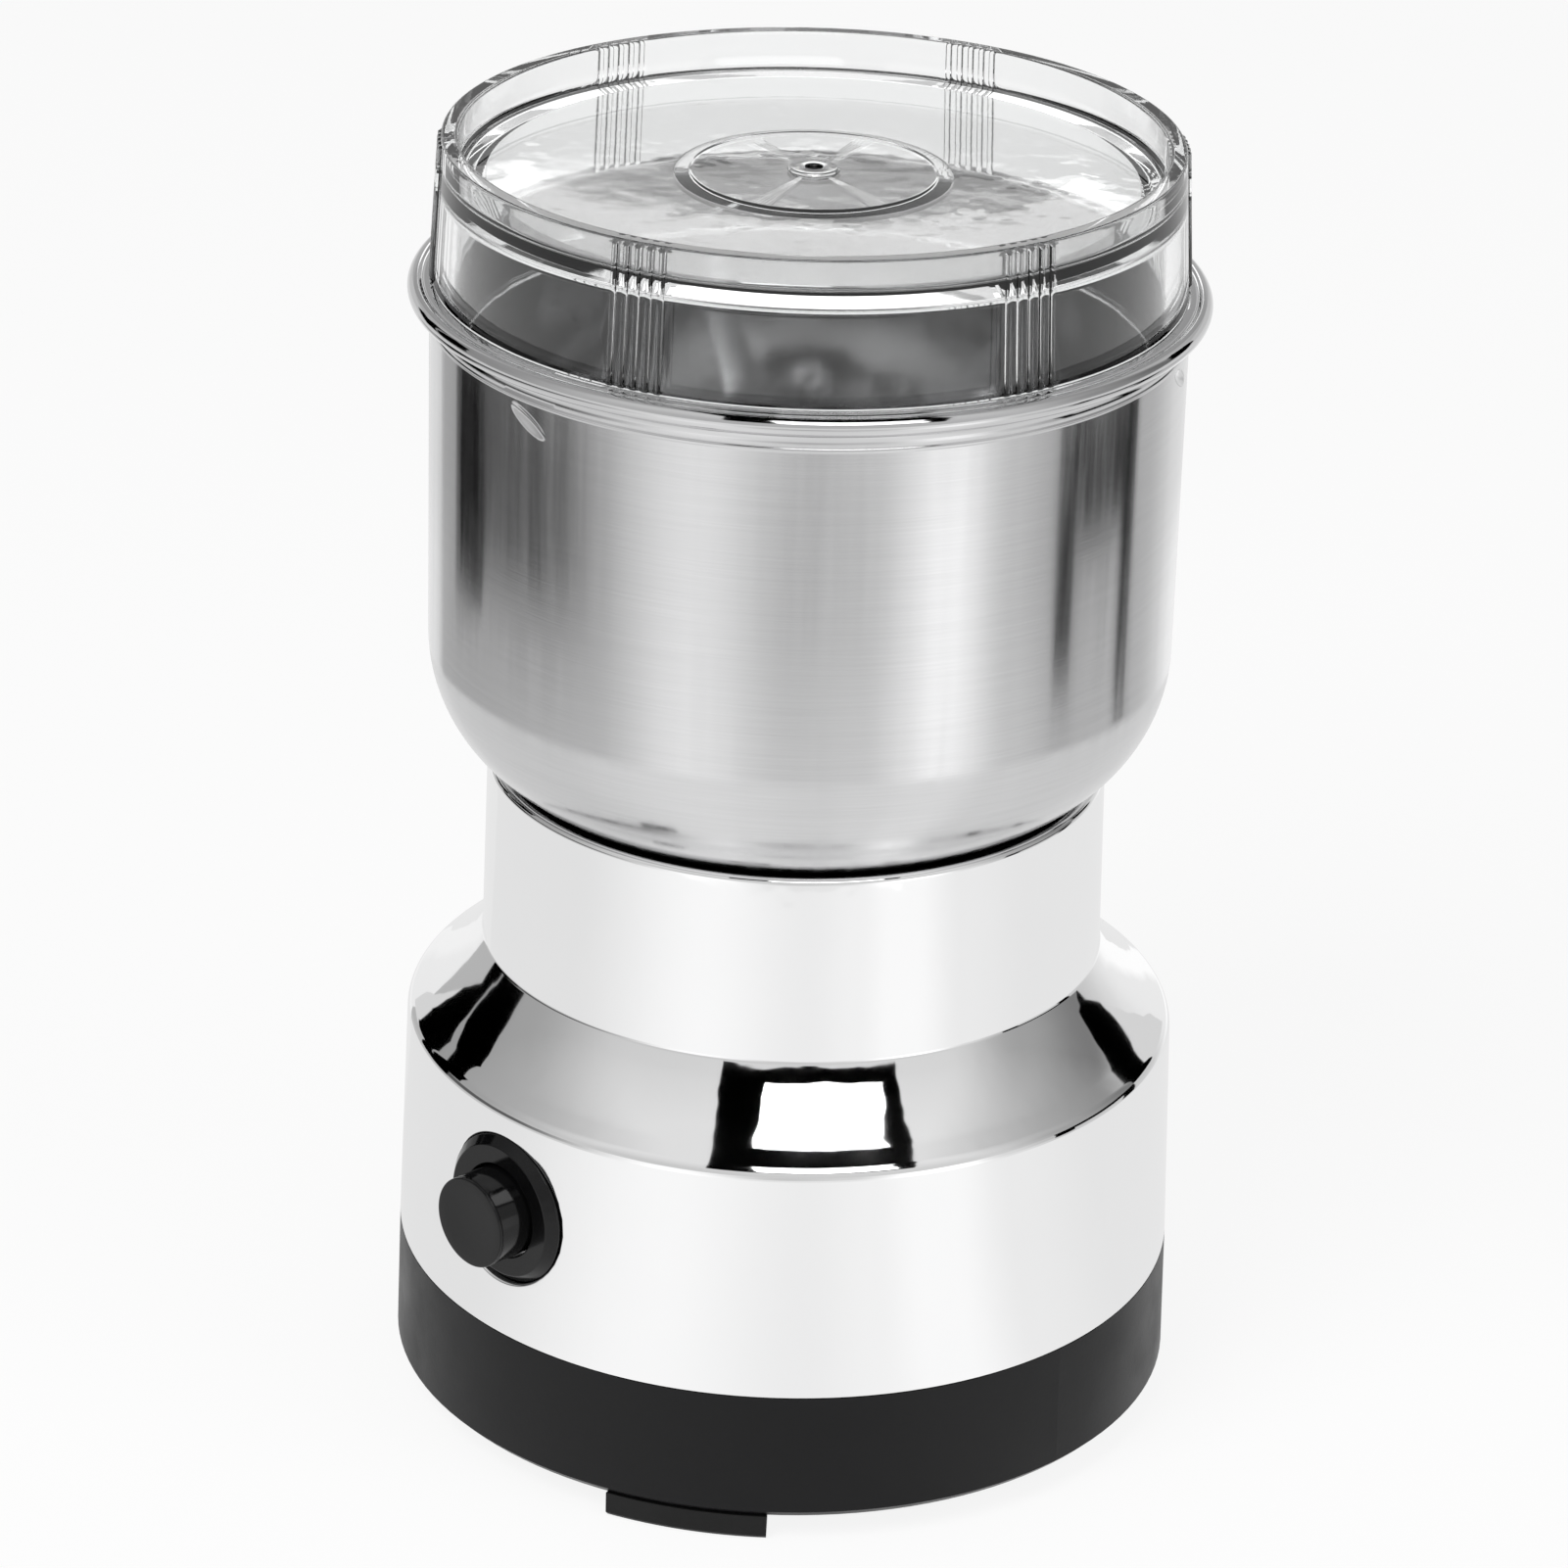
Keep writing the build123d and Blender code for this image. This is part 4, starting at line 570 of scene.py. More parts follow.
def shoulder_points():
    """Points of the hollow shoulder, clear of the fillets at both its ends."""
    steps = 14
    start = Vector((drum_top_radius, shoulder_level))
    end = Vector((neck_foot_radius, neck_level))
    chord = end - start
    outwards = Vector((chord.y, -chord.x)).normalized()
    points = []
    for step in range(3, steps - 1):
        t = step / steps
        dip = 4 * t * (1 - t) * shoulder_hollow
        point = start + chord * t - outwards * dip
        points.append((point.x, point.y, 0.0))
    return points


def turn_round_button(vert):
    """Angle of a point round the button's axis."""
    return math.atan2(vert.co.z - button_height, vert.co.x)


def cut_window(body):
    """Takes the outer faces out in front of the button; the hole's edge, in order round it."""
    outer_skin = drum_top_radius - 1 * MM
    window = []
    for face in body.faces:
        middle = face.calc_center_median()
        outside = math.hypot(middle.x, middle.y) > outer_skin
        across = abs(math.degrees(math.atan2(middle.x, -middle.y)))
        if outside and across < window_half_angle and window_bottom < middle.z < window_top:
            window.append(face)
    bmesh.ops.delete(body, geom=window, context="FACES")
    bare = [vert for vert in body.verts if not vert.link_faces]
    bmesh.ops.delete(body, geom=bare, context="VERTS")
    edge = {vert for line in body.edges if line.is_boundary for vert in line.verts}
    return sorted(edge, key=turn_round_button)


def wall_ring(body, turns, radii, depth):
    """Ring of points round the button on the drum's wall, pushed in by a depth."""
    verts = []
    for angle, radius in zip(turns, radii):
        point = drum_surface(radius * math.cos(angle), button_height + radius * math.sin(angle))
        verts.append(body.verts.new(point + Vector((0, depth, 0))))
    return verts


def seat_ring(body, turns, radius):
    """Ring of points round the button, on the flat that the bezel sits on."""
    verts = []
    for angle in turns:
        up = button_height + radius * math.sin(angle)
        verts.append(body.verts.new((radius * math.cos(angle), -bezel_seat, up)))
    return verts


def open_for_button(piece):
    """Changes the drum's wall in front of the button for rings that roll into a round hole."""
    lip_steps = 6
    body = bmesh.new()
    body.from_mesh(piece.data)
    edge = cut_window(body)
    turns = [turn_round_button(vert) for vert in edge]
    reach = [math.hypot(vert.co.x, vert.co.z - button_height) for vert in edge]
    rings = [edge]
    for share in (0.35, 0.62, 0.82, 0.94, 1.0):
        radii = [far + (hole_radius + hole_lip - far) * share for far in reach]
        rings.append(wall_ring(body, turns, radii, 0.0))
    for step in range(1, lip_steps + 1):
        angle = math.radians(90 * step / lip_steps)
        radius = hole_radius + hole_lip * (1 - math.sin(angle))
        depth = hole_lip * (1 - math.cos(angle))
        rings.append(wall_ring(body, turns, [radius] * len(turns), depth))
    rings.append(seat_ring(body, turns, hole_radius))
    rings.append(seat_ring(body, turns, bezel_tube_radius))
    for first, second in zip(rings, rings[1:]):
        join_rings(body, first, second)
    bmesh.ops.recalc_face_normals(body, faces=body.faces)
    body.to_mesh(piece.data)
    body.free()
    smooth(piece.data)


def build_housing():
    """Chrome drum, hollow shoulder and neck in one shell."""
    section = rounded(
        [
            (base_top_radius, base_top, 0.3 * MM),
            *drum_side_points(),
            (drum_top_radius, shoulder_level, drum_edge_fillet),
            *shoulder_points(),
            (neck_foot_radius, neck_level, neck_foot_fillet),
            (neck_top_radius, neck_top, neck_lip_fillet),
            (neck_top_radius - neck_wall, neck_top, 0.3 * MM),
            (neck_foot_radius - neck_wall, neck_level, 0),
            (neck_foot_radius - neck_wall, neck_level - housing_wall, 0),
            (drum_top_radius - housing_wall, shoulder_level - housing_wall, 0),
            (base_top_radius - housing_wall, base_top, 0.2 * MM),
        ],
        steps=8,
    )
    piece = lathe("chrome_shell", section, even_angles(360))
    open_for_button(piece)
    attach(piece, "base")
    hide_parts("chrome_housing")
    piece.data.materials.append(chrome_material())


# ============ Bowl ============


def dented(radius, height, angle):
    """Pushes the bowl's wall inwards along the slanted dents under the rim."""
    rise = height - dent_level
    if abs(rise) > dent_length or radius < bowl_radius - 2 * bowl_wall:
        return radius
    slant = math.radians(dent_slant)
    for number in range(dent_count):
        centre = math.radians(dents_start + 360 / dent_count * number)
        offset = ((angle - centre + math.pi) % (2 * math.pi) - math.pi) * bowl_radius
        lengthwise = offset * math.cos(slant) - rise * math.sin(slant)
        aside = offset * math.sin(slant) + rise * math.cos(slant)
        distance = math.hypot(lengthwise / dent_length, aside / dent_width)
        if distance < 1:
            return radius - dent_depth * (1 - distance**2)
    return radius


def bowl_angles():
    """Angles of the bowl's points, close together at the dents."""
    fine_half = 5.0
    fine_steps = 50
    gap = 0.6
    coarse_steps = 76
    share = 360 / dent_count
    rest = share - 2 * (fine_half + gap)
    angles = []
    for number in range(dent_count):
        centre = dents_start + share * number
        for step in range(fine_steps + 1):
            angles.append(centre - fine_half + 2 * fine_half * step / fine_steps)
        for step in range(coarse_steps + 1):
            angles.append(centre + fine_half + gap + rest * step / coarse_steps)
    return [math.radians(angle) for angle in angles]


def bead_points():
    """The raised line round the wall under the rim."""
    points = []
    for rise, share in ((-0.35, 0.0), (-0.25, 0.5), (0.0, 1.0), (0.25, 0.5), (0.35, 0.0)):
        points.append((bowl_radius + bead_height * share, bead_level + rise * MM))
    return points


def groove_points():
    """The fine groove round the rim's top."""
    points = []
    for aside, share in ((0.4, 0.0), (0.2, 0.72), (0.0, 1.0), (-0.2, 0.72), (-0.4, 0.0)):
        points.append((groove_radius + aside * MM, rim_top - groove_depth * share))
    return points


def bowl_section():
    """Section from the hub's hole up the outside, over the rim and back down the inside."""
    corner_centre = (bowl_radius - bowl_corner, bowl_bottom + bowl_corner)
    corner_steps = 28
    wall_rows = [bowl_bottom + bowl_corner + rise * MM for rise in (12, 24)]
    wall_rows += [dent_level + (number - dent_rows / 2) * dent_row_pitch for number in range(dent_rows)]
    inner_radius = bowl_radius - bowl_wall
    rim_centre = rim_radius - rim_roll
    cove = rim_centre - bowl_radius
    section = [(hub_hole, bowl_bottom)]
    section += arc_points(corner_centre, bowl_corner, -90, 0, corner_steps)
    section += [(bowl_radius, row) for row in wall_rows]
    section += bead_points()
    section += arc_points((rim_centre, rim_top - 2 * rim_roll - cove), cove, 180, 90, 8)
    section += arc_points((rim_centre, rim_top - rim_roll), rim_roll, -90, 90, 14)[1:]
    section += groove_points()
    section += arc_points((inner_radius + mouth_fillet, rim_top - mouth_fillet), mouth_fillet, 90, 180, 4)
    section += [(inner_radius, row) for row in reversed(wall_rows)]
    section += arc_points(corner_centre, bowl_corner - bowl_wall, 0, -90, corner_steps)
    section.append((hub_hole, bowl_bottom + bowl_wall))
    return section


def build_bowl():
    """Drawn bowl: round foot, straight wall with dents, cove under a rolled rim."""
    piece = lathe("steel_bowl", bowl_section(), bowl_angles(), shape=dented)
    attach(piece, "bowl")
    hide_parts("grinding_bowl")
    piece.data.materials.append(bowl_material())


# ============ Lid ============


def rib_places():
    """Angles of the ribs' middles, in degrees."""
    places = []
    for group in range(rib_groups):
        for number in range(ribs_in_group):
            offset = (number - (ribs_in_group - 1) / 2) * rib_pitch
            places.append((ribs_start + 360 / rib_groups * group + offset) % 360)
    return sorted(places)


def ribbed(radius, height, angle):
    """Pushes the lid's outer wall out at the ribs."""
    outer_skin = lid_top_radius - 0.2 * MM
    if radius < outer_skin or height < ribs_bottom or height > ribs_top:
        return radius
    degrees = math.degrees(angle) % 360
    for centre in rib_places():
        offset = abs(degrees - centre)
        if offset < rib_half:
            return radius + rib_height * math.sqrt(1 - (offset / rib_half) ** 2)
    return radius


def lid_angles():
    """Angles of the lid's points: close together on each rib, even between the groups."""
    rib_parts = (-1.0, -0.92, -0.7, -0.35, 0.0, 0.35, 0.7, 0.92, 1.0)
    steps = 40
    group_half = (ribs_in_group - 1) / 2 * rib_pitch + rib_half
    angles = []
    for centre in rib_places():
        angles += [centre + rib_half * part for part in rib_parts]
    for group in range(rib_groups):
        first = ribs_start + 360 / rib_groups * group + group_half
        last = first + 360 / rib_groups - 2 * group_half
        angles += [first + (last - first) * step / steps for step in range(1, steps)]
    return sorted(math.radians(angle % 360) for angle in angles)


def lid_wall_points():
    """Points up the lid's outer wall, close together where the ribs start and end."""
    points = []
    for part in (0.032, 0.04, 0.5, 0.96, 0.968):
        height = rim_top + (lid_top - rim_top) * part
        radius = lid_foot_radius + (lid_top_radius - lid_foot_radius) * part
        points.append((radius, height, 0))
    return points


def lid_section():
    """Section of the lid: underside, skirt, outer wall, top edge, dish, disc and gate."""
    wall_inside = lid_top_radius - lid_wall
    skirt_inside = skirt_radius - skirt_wall
    skirt_end = rim_top - skirt_depth
    step_top = disc_radius - 0.6 * MM
    step_foot = disc_radius + 1.5 * MM
    disc_level = dish_level + disc_height
    gate_level = disc_level + gate_height
    return rounded(
        [
            (0, disc_level - dish_floor, 0),
            (step_top, disc_level - dish_floor, dish_fillet),
            (step_foot, dish_level - dish_floor, dish_fillet),
            (wall_inside - corner_width, dish_level - dish_floor, 0.4 * MM),
            (wall_inside, dish_level - dish_floor - corner_depth, dish_fillet),
            (skirt_inside, rim_top, 1.0 * MM),
            (skirt_inside, skirt_end, skirt_fillet),
            (skirt_radius, skirt_end, skirt_fillet),
            (skirt_radius, rim_top, 0),
            (lid_foot_radius, rim_top, 0.15 * MM),
            *lid_wall_points(),
            (lid_top_radius, lid_top, lid_edge_fillet),
            (wall_inside, lid_top, lid_edge_fillet),
            (wall_inside, dish_level, dish_fillet),
            (step_foot, dish_level, dish_fillet),
            (step_top, disc_level, dish_fillet),
            (gate_radius + 0.2 * MM, disc_level, 0.2 * MM),
            (gate_radius, gate_level, 0.3 * MM),
            (gate_hole_radius, gate_level, 0.2 * MM),
            (gate_hole_radius, gate_level - gate_hole_depth, 0.1 * MM),
            (0, gate_level - gate_hole_depth, 0),
        ],
        steps=6,
    )


def build_lid():
    """Clear lid with grip ribs, a dished top, a centre disc and the moulding's gate."""
    piece = lathe("clear_lid", lid_section(), lid_angles(), shape=ribbed)
    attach(piece, "lid")
    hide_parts("lid")
    piece.data.materials.append(clear_material())


# ============ Button ============


def build_bezel(gloss):
    """Gloss black ring round the button, with its tube behind."""
    section = rounded(
        [
            (bezel_tube_radius, bezel_tube_end, 0),
            (bezel_tube_radius, bezel_seat, 0),
            (bezel_radius, bezel_seat, 0),
            (bezel_radius, bezel_face - bezel_bevel_depth, 0.25 * MM),
            (bezel_radius - bezel_bevel_width, bezel_face, 0.3 * MM),
            (cap_radius + cap_gap, bezel_face, bezel_mouth_fillet),
            (cap_radius + cap_gap, cap_flange_front, 0),
            (cap_flange + cap_gap, cap_flange_front, 0),
            (cap_flange + cap_gap, bezel_tube_end, 0),
        ],
        steps=4,
    )
    bezel = lathe("bezel_ring", section, even_angles(160), place=toward_button())
    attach(bezel, "base")
    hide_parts("button_bezel")
    bezel.data.materials.append(gloss)


def build_cap(gloss):
    """Gloss black button with a slightly dished face and a fine line round its edge."""
    line = cap_front - cap_line_inset
    section = rounded(
        [
            (0, cap_front - cap_dish, 0),
            (2.5 * MM, cap_front - cap_dish * 5 / 6, 0),
            (4.6 * MM, cap_front - cap_dish / 3, 0),
            (cap_radius, cap_front, cap_edge_fillet),
            (cap_radius, line + cap_line_half, 0),
            (cap_radius - cap_line_depth, line, 0),
            (cap_radius, line - cap_line_half, 0),
            (cap_radius, cap_flange_front, 0),
            (cap_flange, cap_flange_front, 0),
            (cap_flange, cap_end, 0),
            (cap_inner, cap_end, 0),
            (cap_inner, cap_front - cap_wall, 0),
            (stem_radius, cap_front - cap_wall, 0),
            (stem_radius, stem_end, 0),
            (0, stem_end, 0),
        ],
        steps=5,
    )
    cap = lathe("button_knob", section, even_angles(128), place=toward_button())
    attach(cap, "button")
    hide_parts("button_cap")
    cap.data.materials.append(gloss)


def coil_mesh(name):
    """Helix of round wire about the button's axis."""
    steps = 48 * coil_turns
    rise = coil_front - coil_back - 2 * coil_wire
    body = bmesh.new()
    rings = []
    for step in range(steps + 1):
        share = step / steps
        angle = 2 * math.pi * coil_turns * share
        outwards = Vector((math.cos(angle), math.sin(angle), 0))
        middle = outwards * coil_radius + Vector((0, 0, coil_back + coil_wire + rise * share))
        ring = []
        for tilt in even_angles(10):
            offset = outwards * math.cos(tilt) + Vector((0, 0, math.sin(tilt)))
            ring.append(body.verts.new(middle + offset * coil_wire))
        rings.append(ring)
    for first, second in zip(rings, rings[1:]):
        join_rings(body, first, second)
    body.faces.new(rings[0])
    body.faces.new(rings[-1])
    bmesh.ops.recalc_face_normals(body, faces=body.faces)
    bmesh.ops.transform(body, matrix=toward_button(), verts=body.verts)
    return finished_mesh(name, body)


def build_coil():
    """Spring under the cap."""
    mesh = coil_mesh("button_coil")
    smooth(mesh)
    coil = in_scene("button_coil", mesh)
    coil.data.materials.append(metal_material("coil_steel", (0.66, 0.66, 0.68), 0.25))
    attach(coil, "base")
    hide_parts("button_spring")
    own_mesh(coil)


build_housing()
build_bowl()
build_lid()
black_gloss = plastic_material("black_gloss", (0.002, 0.002, 0.0022), 0.1, 700.0, 0.03, specular=0.3)
build_bezel(black_gloss)
build_cap(black_gloss)
build_coil()

# ============ Finishes of the CAD pieces that stay, by slot ============

finishes = {
    "black_base": plastic_material("black_base", (0.004, 0.004, 0.0045), 0.38, 1500.0, 0.2, specular=0.22),
    "black_rubber": plastic_material("black_rubber", (0.006, 0.006, 0.006), 0.6, 900.0, 0.3, specular=0.25),
    "screw_steel": metal_material("screw_steel", (0.62, 0.62, 0.63), 0.3),
    "die_cast": metal_material("die_cast", (0.66, 0.67, 0.68), 0.38, 900.0, 0.3),
    "bronze": metal_material("bronze", (0.62, 0.46, 0.28), 0.42),
    "blade_steel": metal_material("blade_steel", (0.74, 0.74, 0.75), 0.2, 300.0, 0.08),
    "coupling_nylon": plastic_material("coupling_nylon", (0.09, 0.09, 0.095), 0.5, 700.0, 0.2),
    "core_steel": layered_material("core_steel", (0.42, 0.43, 0.45), 0.45, pitch=0.5 * MM),
    "copper": layered_material("copper", (0.78, 0.36, 0.2), 0.3, pitch=0.6 * MM),
    "carbon": plastic_material("carbon", (0.03, 0.03, 0.03), 0.5, 900.0, 0.2),
    "spring_steel": metal_material("spring_steel", (0.66, 0.66, 0.68), 0.25),
    "switch_plastic": plastic_material("switch_plastic", (0.35, 0.05, 0.04), 0.35, 600.0, 0.1),
    "terminal_brass": metal_material("terminal_brass", (0.78, 0.62, 0.34), 0.3),
}
slot_of = {entry["node"]: entry["material_slot"] for entry in frame["record"]["subparts"]}
for node_name, node in frame["nodes"].items():
    finish = finishes.get(slot_of[node_name])
    if finish is not None:
        node.data.materials.clear()
        node.data.materials.append(finish)

# ============ Stage: light settings ============
# The greys round the grinder, as (azimuth, grey). Azimuths are in degrees from the camera's side,
# positive towards its right, and 180 is behind the grinder. The greys come from the photograph: a
# scratch script read its brightness where bowl, shoulder, neck and drum mirror each direction, and
# the readings were thinned out, raised by up to 13 percent and partly changed by hand.

view_azimuth = 45.0  # the camera's side, counted round Z from the button's

world_low_tones = [
    (-142, 0.68), (-124, 0.32), (-104, 0.36), (-60, 0.6), (60, 0.66), (92, 0.36), (120, 0.2), (134, 0.68),
]
world_high_tones = [(-115, 0.44), (-60, 0.77), (60, 0.8), (112, 0.44)]
world_blend = (0.4, 0.85)  # upward slopes between which the low tones turn into the high ones
world_soft_strength = 0.62  # of the light that rough surfaces get

# Painted pools of light on the floor, which only mirrored rays see, as (azimuth, grey).
painted_floor_pools = [
    (-80, 0.79), (-28, 0.99), (6, 0.885), (22, 0.93), (34, 1.0), (42, 1.0), (60, 0.87), (90, 0.82),
]
floor_grey = 0.95
floor_glow = 0.88

screen_low_tones = [
    (-150, 0.66), (-110, 0.38), (-60, 0.46), (-29, 0.82), (-3, 0.58), (17, 0.6), (41, 0.97),
    (62, 0.56), (80, 0.44), (115, 0.45), (146, 0.74),
]
screen_high_tones = [
    (-150, 0.62), (-120, 0.34), (-116, 0.07), (-78, 0.08), (-29, 0.78), (0, 0.43), (16, 0.5),
    (41, 0.97), (60, 0.52), (74, 0.38), (115, 0.42), (140, 0.62),
]
screen_blend = (0.028, 0.042)  # heights between which the low tones turn into the high ones
screen_radius = 0.25
screen_top = 0.085
screen_strength = 1.38
board_radius = 0.24

card_level = 0.07  # height of the point from which the cards' directions are counted
lamp_level = 0.08

black = 0.0

# ============ Stage helpers ============


def direction(azimuth, elevation):
    """Unit vector from the grinder; azimuth is counted from the camera's side towards its right."""
    turn = math.radians(azimuth + view_azimuth)
    rise = math.radians(elevation)
    return Vector((math.cos(rise) * math.sin(turn), -math.cos(rise) * math.cos(turn), math.sin(rise)))


def tones_by_azimuth(nodes, links, vector, tones):
    """A grey that changes with the direction round Z, through the (azimuth, grey) stops."""
    around = nodes.new("ShaderNodeTexGradient")
    around.gradient_type = "RADIAL"
    links.new(vector, around.inputs["Vector"])
    ramp = nodes.new("ShaderNodeValToRGB")
    ramp.color_ramp.interpolation = "EASE"
    stops = sorted((((azimuth + view_azimuth - 90) / 360 + 0.5) % 1.0, grey) for azimuth, grey in tones)
    elements = ramp.color_ramp.elements
    while len(elements) < len(stops):
        elements.new(0.5)
    for element, (place, grey) in zip(elements, stops):
        element.position = place
        element.color = (grey, grey, grey, 1)
    links.new(around.outputs["Fac"], ramp.inputs["Fac"])
    return ramp.outputs["Color"]


def kinds_of_ray(nodes):
    """Three values, 1 for rays straight from the camera, through the lid, and mirrored ones."""
    path = nodes.new("ShaderNodeLightPath")
    return path.outputs["Is Camera Ray"], path.outputs["Is Transmission Ray"], path.outputs["Is Glossy Ray"]


def bare_material(name):
    """A material without nodes yet, its node list and its links."""
    material = bpy.data.materials.new(name)
    material.use_nodes = True
    nodes = material.node_tree.nodes
    nodes.clear()
    return material, nodes, material.node_tree.links


def shader_between(nodes, links, share, first, second):
    """A shader between two, by a share."""
    mix = nodes.new("ShaderNodeMixShader")
    links.new(share, mix.inputs["Fac"])
    links.new(first, mix.inputs[1])
    links.new(second, mix.inputs[2])
    return mix.outputs["Shader"]


def show(nodes, links, surface):
    """Makes a shader a material's surface."""
    output = nodes.new("ShaderNodeOutputMaterial")
    links.new(surface, output.inputs["Surface"])


def mirrored_panel(name, mesh, strength, through):
    """A studio panel seen in reflections, and through the lid if told; its nodes, links and glow."""
    panel = in_scene(name, mesh)
    panel.visible_camera = False
    panel.visible_diffuse = False
    panel.visible_shadow = False
    panel.visible_transmission = through
    material, nodes, links = bare_material(name)
    glow = nodes.new("ShaderNodeEmission")
    glow.inputs["Strength"].default_value = strength
    show(nodes, links, glow.outputs["Emission"])
    mesh.materials.append(material)
    return nodes, links, glow


def card(name, corners, strength, distance=1.25):
    """Studio card with its corners in the given (azimuth, elevation) directions."""
    level = Vector((0, 0, card_level))
    ways = [direction(azimuth, elevation) for azimuth, elevation in corners]
    middle = sum(ways, Vector()).normalized()
    body = bmesh.new()
    rim = [body.verts.new(way * distance + level) for way in ways]
    hub = body.verts.new(middle * distance + level)
    for number, corner in enumerate(rim):
        body.faces.new((hub, corner, rim[(number + 1) % len(rim)]))
    mirrored_panel(name, finished_mesh(name, body), strength, through=True)


def upright_card(name, first, last, bottom):
    """Black card standing just inside the low screen, between two azimuths."""
    body = bmesh.new()
    verts = []
    for azimuth, height in ((first, bottom), (last, bottom), (last, screen_top), (first, screen_top)):
        verts.append(body.verts.new(direction(azimuth, 0) * board_radius + Vector((0, 0, height))))
    body.faces.new(verts)
    mirrored_panel(name, finished_mesh(name, body), black, through=False)


def area_light(name, azimuth, elevation, distance, size, power):
    """Soft lamp aimed at the middle of the grinder."""
    light = bpy.data.lights.new(name, "AREA")
    light.shape = "DISK"
    light.size = size
    light.energy = power
    lamp = in_scene(name, light)
    away = direction(azimuth, elevation)
    lamp.location = away * distance + Vector((0, 0, lamp_level))
    lamp.rotation_euler = away.to_track_quat("Z", "Y").to_euler()
    lamp.visible_glossy = False
    lamp.visible_transmission = False


# ============ Stage ============


def studio_world():
    """White backdrop, with greyer side walls and ceiling for the chrome to mirror."""
    world = bpy.data.worlds.new("studio")
    bpy.context.scene.world = world
    world.use_nodes = True
    nodes = world.node_tree.nodes
    links = world.node_tree.links
    background = nodes["Background"]
    way = nodes.new("ShaderNodeTexCoord").outputs["Generated"]
    low = tones_by_azimuth(nodes, links, way, world_low_tones)
    high = tones_by_azimuth(nodes, links, way, world_high_tones)
    rise = spread(nodes, links, parts_of(nodes, links, way)["Z"], 0.0, 1.0, *world_blend)
    walls = mixed(nodes, links, rise, low, high)
    direct, through, mirrored = kinds_of_ray(nodes)
    backwards = along(nodes, links, way, direction(180, 0))
    behind = spread(nodes, links, backwards, 0.0, 1.0, -0.2, 0.2)
    white = larger(nodes, links, direct, product(nodes, links, through, behind))
    links.new(mixed(nodes, links, white, walls, 1.0), background.inputs["Color"])
    seen = larger(nodes, links, larger(nodes, links, direct, through), mirrored)
    strength = spread(nodes, links, seen, world_soft_strength, 1.0, 0.0, 1.0)
    links.new(strength, background.inputs["Strength"])


def studio_floor():
    """Large pale floor that reads as white and keeps a soft shadow, clear when seen from below, with painted
    pools of light that only reflections show.
    """
    body = bmesh.new()
    bmesh.ops.create_circle(body, cap_ends=True, segments=96, radius=6.0)
    mesh = finished_mesh("floor", body)
    floor = in_scene("floor", mesh)
    material, nodes, links = bare_material("floor")
    diffuse = nodes.new("ShaderNodeBsdfDiffuse")
    diffuse.inputs["Color"].default_value = (floor_grey, floor_grey, floor_grey, 1)
    glow = nodes.new("ShaderNodeEmission")
    place = nodes.new("ShaderNodeTexCoord").outputs["Object"]
    # Painted pools of light for mirrored rays, by azimuth.
    pools = tones_by_azimuth(nodes, links, place, painted_floor_pools)
    direct, through, mirrored = kinds_of_ray(nodes)
    straight = larger(nodes, links, direct, through)
    links.new(mixed(nodes, links, straight, pools, 1.0), glow.inputs["Color"])
    share = larger(nodes, links, product(nodes, links, straight, floor_glow), mirrored)
    above = shader_between(nodes, links, share, diffuse.outputs["BSDF"], glow.outputs["Emission"])
    clear = nodes.new("ShaderNodeBsdfTransparent").outputs["BSDF"]
    from_below = nodes.new("ShaderNodeNewGeometry").outputs["Backfacing"]
    show(nodes, links, shader_between(nodes, links, from_below, above, clear))
    mesh.materials.append(material)


def studio_camera():
    """Camera fitted to the ellipses and side lines of the picture. Angles are in degrees."""
    place = Vector((0.51420, -0.51420, 0.41212))
    turn_round_z = 45.12
    look_down = 24.2223
    roll = 1.669
    focal_pixels = 6122.4
    picture_pixels = 1601
    camera = bpy.data.cameras.new("camera")
    camera.sensor_width = 36.0
    camera.lens = focal_pixels / picture_pixels * camera.sensor_width
    holder = in_scene("camera", camera)
    turn = Matrix.Rotation(math.radians(turn_round_z), 4, "Z")
    tilt = Matrix.Rotation(math.radians(90 - look_down), 4, "X")
    lean = Matrix.Rotation(math.radians(roll), 4, "Z")
    holder.matrix_world = Matrix.Translation(place) @ turn @ tilt @ lean
    bpy.context.scene.camera = holder


def low_screen():
    """Low round screen that the bowl's wall mirrors, lit in two stretches, dark high on its left."""
    body = bmesh.new()
    lower = []
    upper = []
    for angle in even_angles(120):
        across = screen_radius * math.cos(angle)
        aside = screen_radius * math.sin(angle)
        lower.append(body.verts.new((across, aside, 0)))
        upper.append(body.verts.new((across, aside, screen_top)))
    join_rings(body, lower, upper)
    mesh = finished_mesh("low_screen", body)
    nodes, links, glow = mirrored_panel("low_screen", mesh, screen_strength, through=False)
    place = nodes.new("ShaderNodeTexCoord").outputs["Object"]
    low = tones_by_azimuth(nodes, links, place, screen_low_tones)
    high = tones_by_azimuth(nodes, links, place, screen_high_tones)
    rise = spread(nodes, links, parts_of(nodes, links, place)["Z"], 0.0, 1.0, *screen_blend)
    links.new(mixed(nodes, links, rise, low, high), glow.inputs["Color"])


# The places of boards and cards come from the photograph too. For the overhead cards and the side
# flags a scratch script turned corners of the shoulder's reflections into directions, which were
# rounded and partly moved. The boards stand where the bowl's readings were dark, and the lid
# panel's lower edge was drawn round directions found the same way.


def side_boards():
    """Black boards on both sides, which give the bowl's wall its dark stretches."""
    upright_card("left_board", -121, -104, bottom=0.033)
    upright_card("right_post", 75, 82, bottom=0.03)
    upright_card("far_right_post", 103, 109, bottom=0.014)
    upright_card("right_bar", 81.5, 104.5, bottom=0.054)


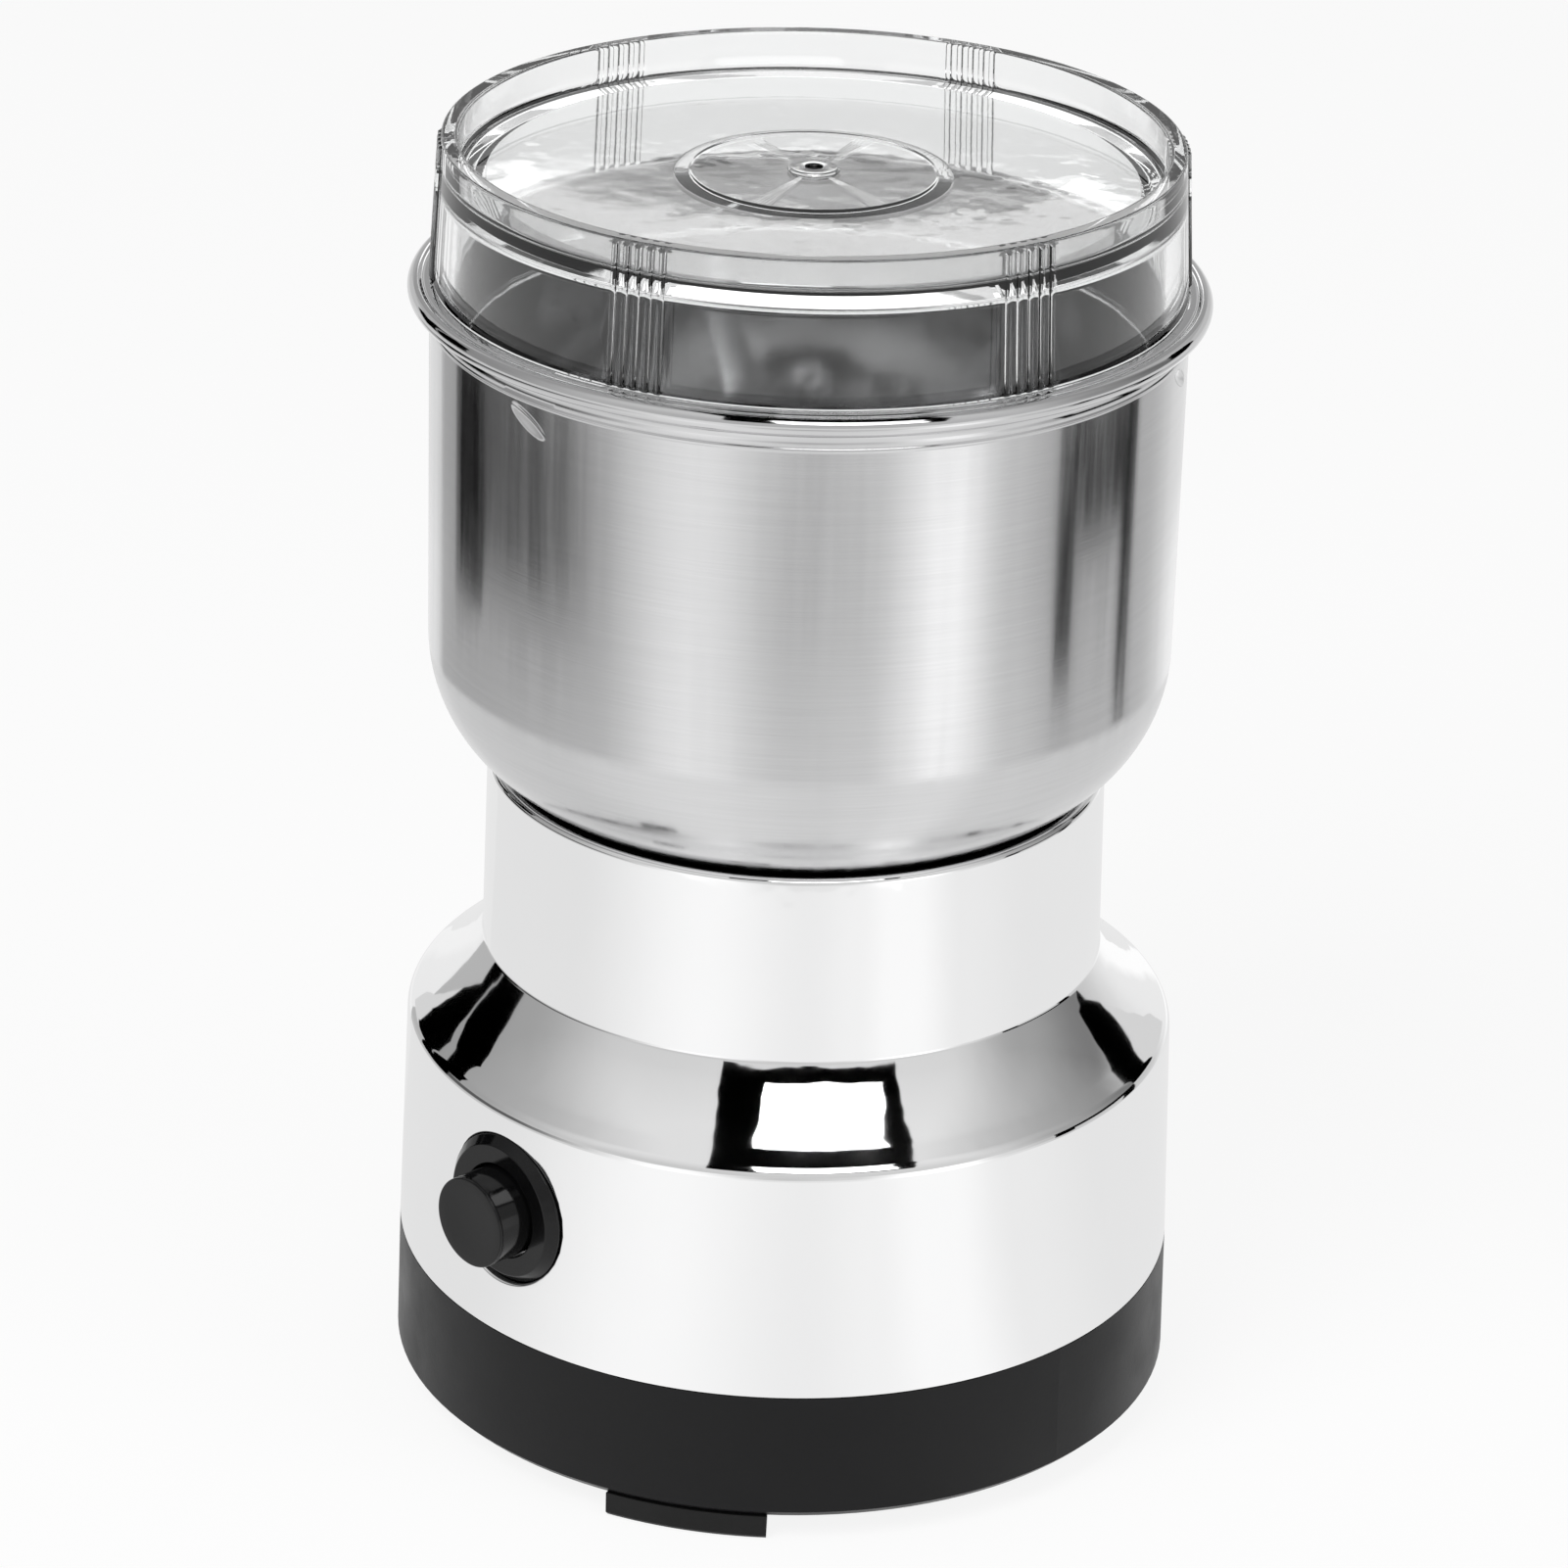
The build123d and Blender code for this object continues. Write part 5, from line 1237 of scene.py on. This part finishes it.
def overhead_cards():
    """Lit panel overhead in a wider black frame, which the shoulder mirrors in front."""
    card(
        "overhead_frame",
        [
            (-24, 34), (8, 35), (40, 32), (44, 42), (49, 51), (58, 59), (68, 66), (100, 74), (150, 62),
            (180, 58), (-150, 62), (-95, 76), (-42, 69.5), (-33, 61), (-29, 54), (-26, 44),
        ],
        black,
    )
    card(
        "overhead_panel",
        [
            (-8, 38.5), (14, 37.5), (36, 37), (38, 43.5), (40, 51), (44, 59), (52, 63.5), (38, 66.5),
            (20, 68.3), (0, 68.8), (-16, 68), (-14, 62), (-11, 53), (-9.5, 45),
        ],
        2.6,
        distance=1.0,
    )


def back_cards():
    """Panels behind the grinder, which the lid's dish and its disc mirror."""
    card("back_panel", [(135, 19), (160, 20), (-160, 20), (-135, 19), (-140, 46), (140, 46)], 0.55)
    card(
        "lid_panel",
        [
            (171, 24.0), (174.6, 23.6), (175.4, 23.2), (176.0, 23.65), (176.8, 23.8), (178.0, 23.95),
            (179.3, 24.1), (-179.3, 24.05), (-177.9, 24.0), (-176.9, 23.8), (-175.8, 23.6),
            (-175.0, 23.2), (-174.2, 23.7), (-171, 24.0), (-170, 33), (-175, 34), (180, 34), (175, 34),
            (170, 33),
        ],
        2.25,
        distance=1.1,
    )
    card(
        "disc_panel",
        [(174, 23.5), (180, 23.0), (-174, 23.4), (-174, 24.8), (174, 24.8)],
        1.25,
        distance=1.11,
    )


def side_flags():
    """Black flags on both sides, which the ends of the shoulder mirror."""
    card(
        "left_flag",
        [(-119, 5), (-107, 11), (-109, 17), (-113, 26), (-117, 31), (-127, 31), (-124.8, 13), (-121.8, 6.5)],
        black,
    )
    card(
        "far_left_flag",
        [(-130, 0), (-123, 6), (-126.2, 13.5), (-129.5, 24), (-131, 32), (-139, 22), (-140, 12)],
        black,
    )
    card(
        "right_flag",
        [(127, 2), (132, 9), (133.5, 20), (131, 29), (124, 26), (120.5, 18), (117.5, 9.5), (121, 5)],
        black,
    )


studio_world()
studio_floor()
studio_camera()
low_screen()
side_boards()
overhead_cards()
back_cards()
side_flags()
area_light("key", azimuth=-35, elevation=50, distance=1.3, size=0.7, power=9.0)
area_light("fill", azimuth=60, elevation=35, distance=1.4, size=0.9, power=4.0)

bpy.context.scene.view_settings.view_transform = "Standard"
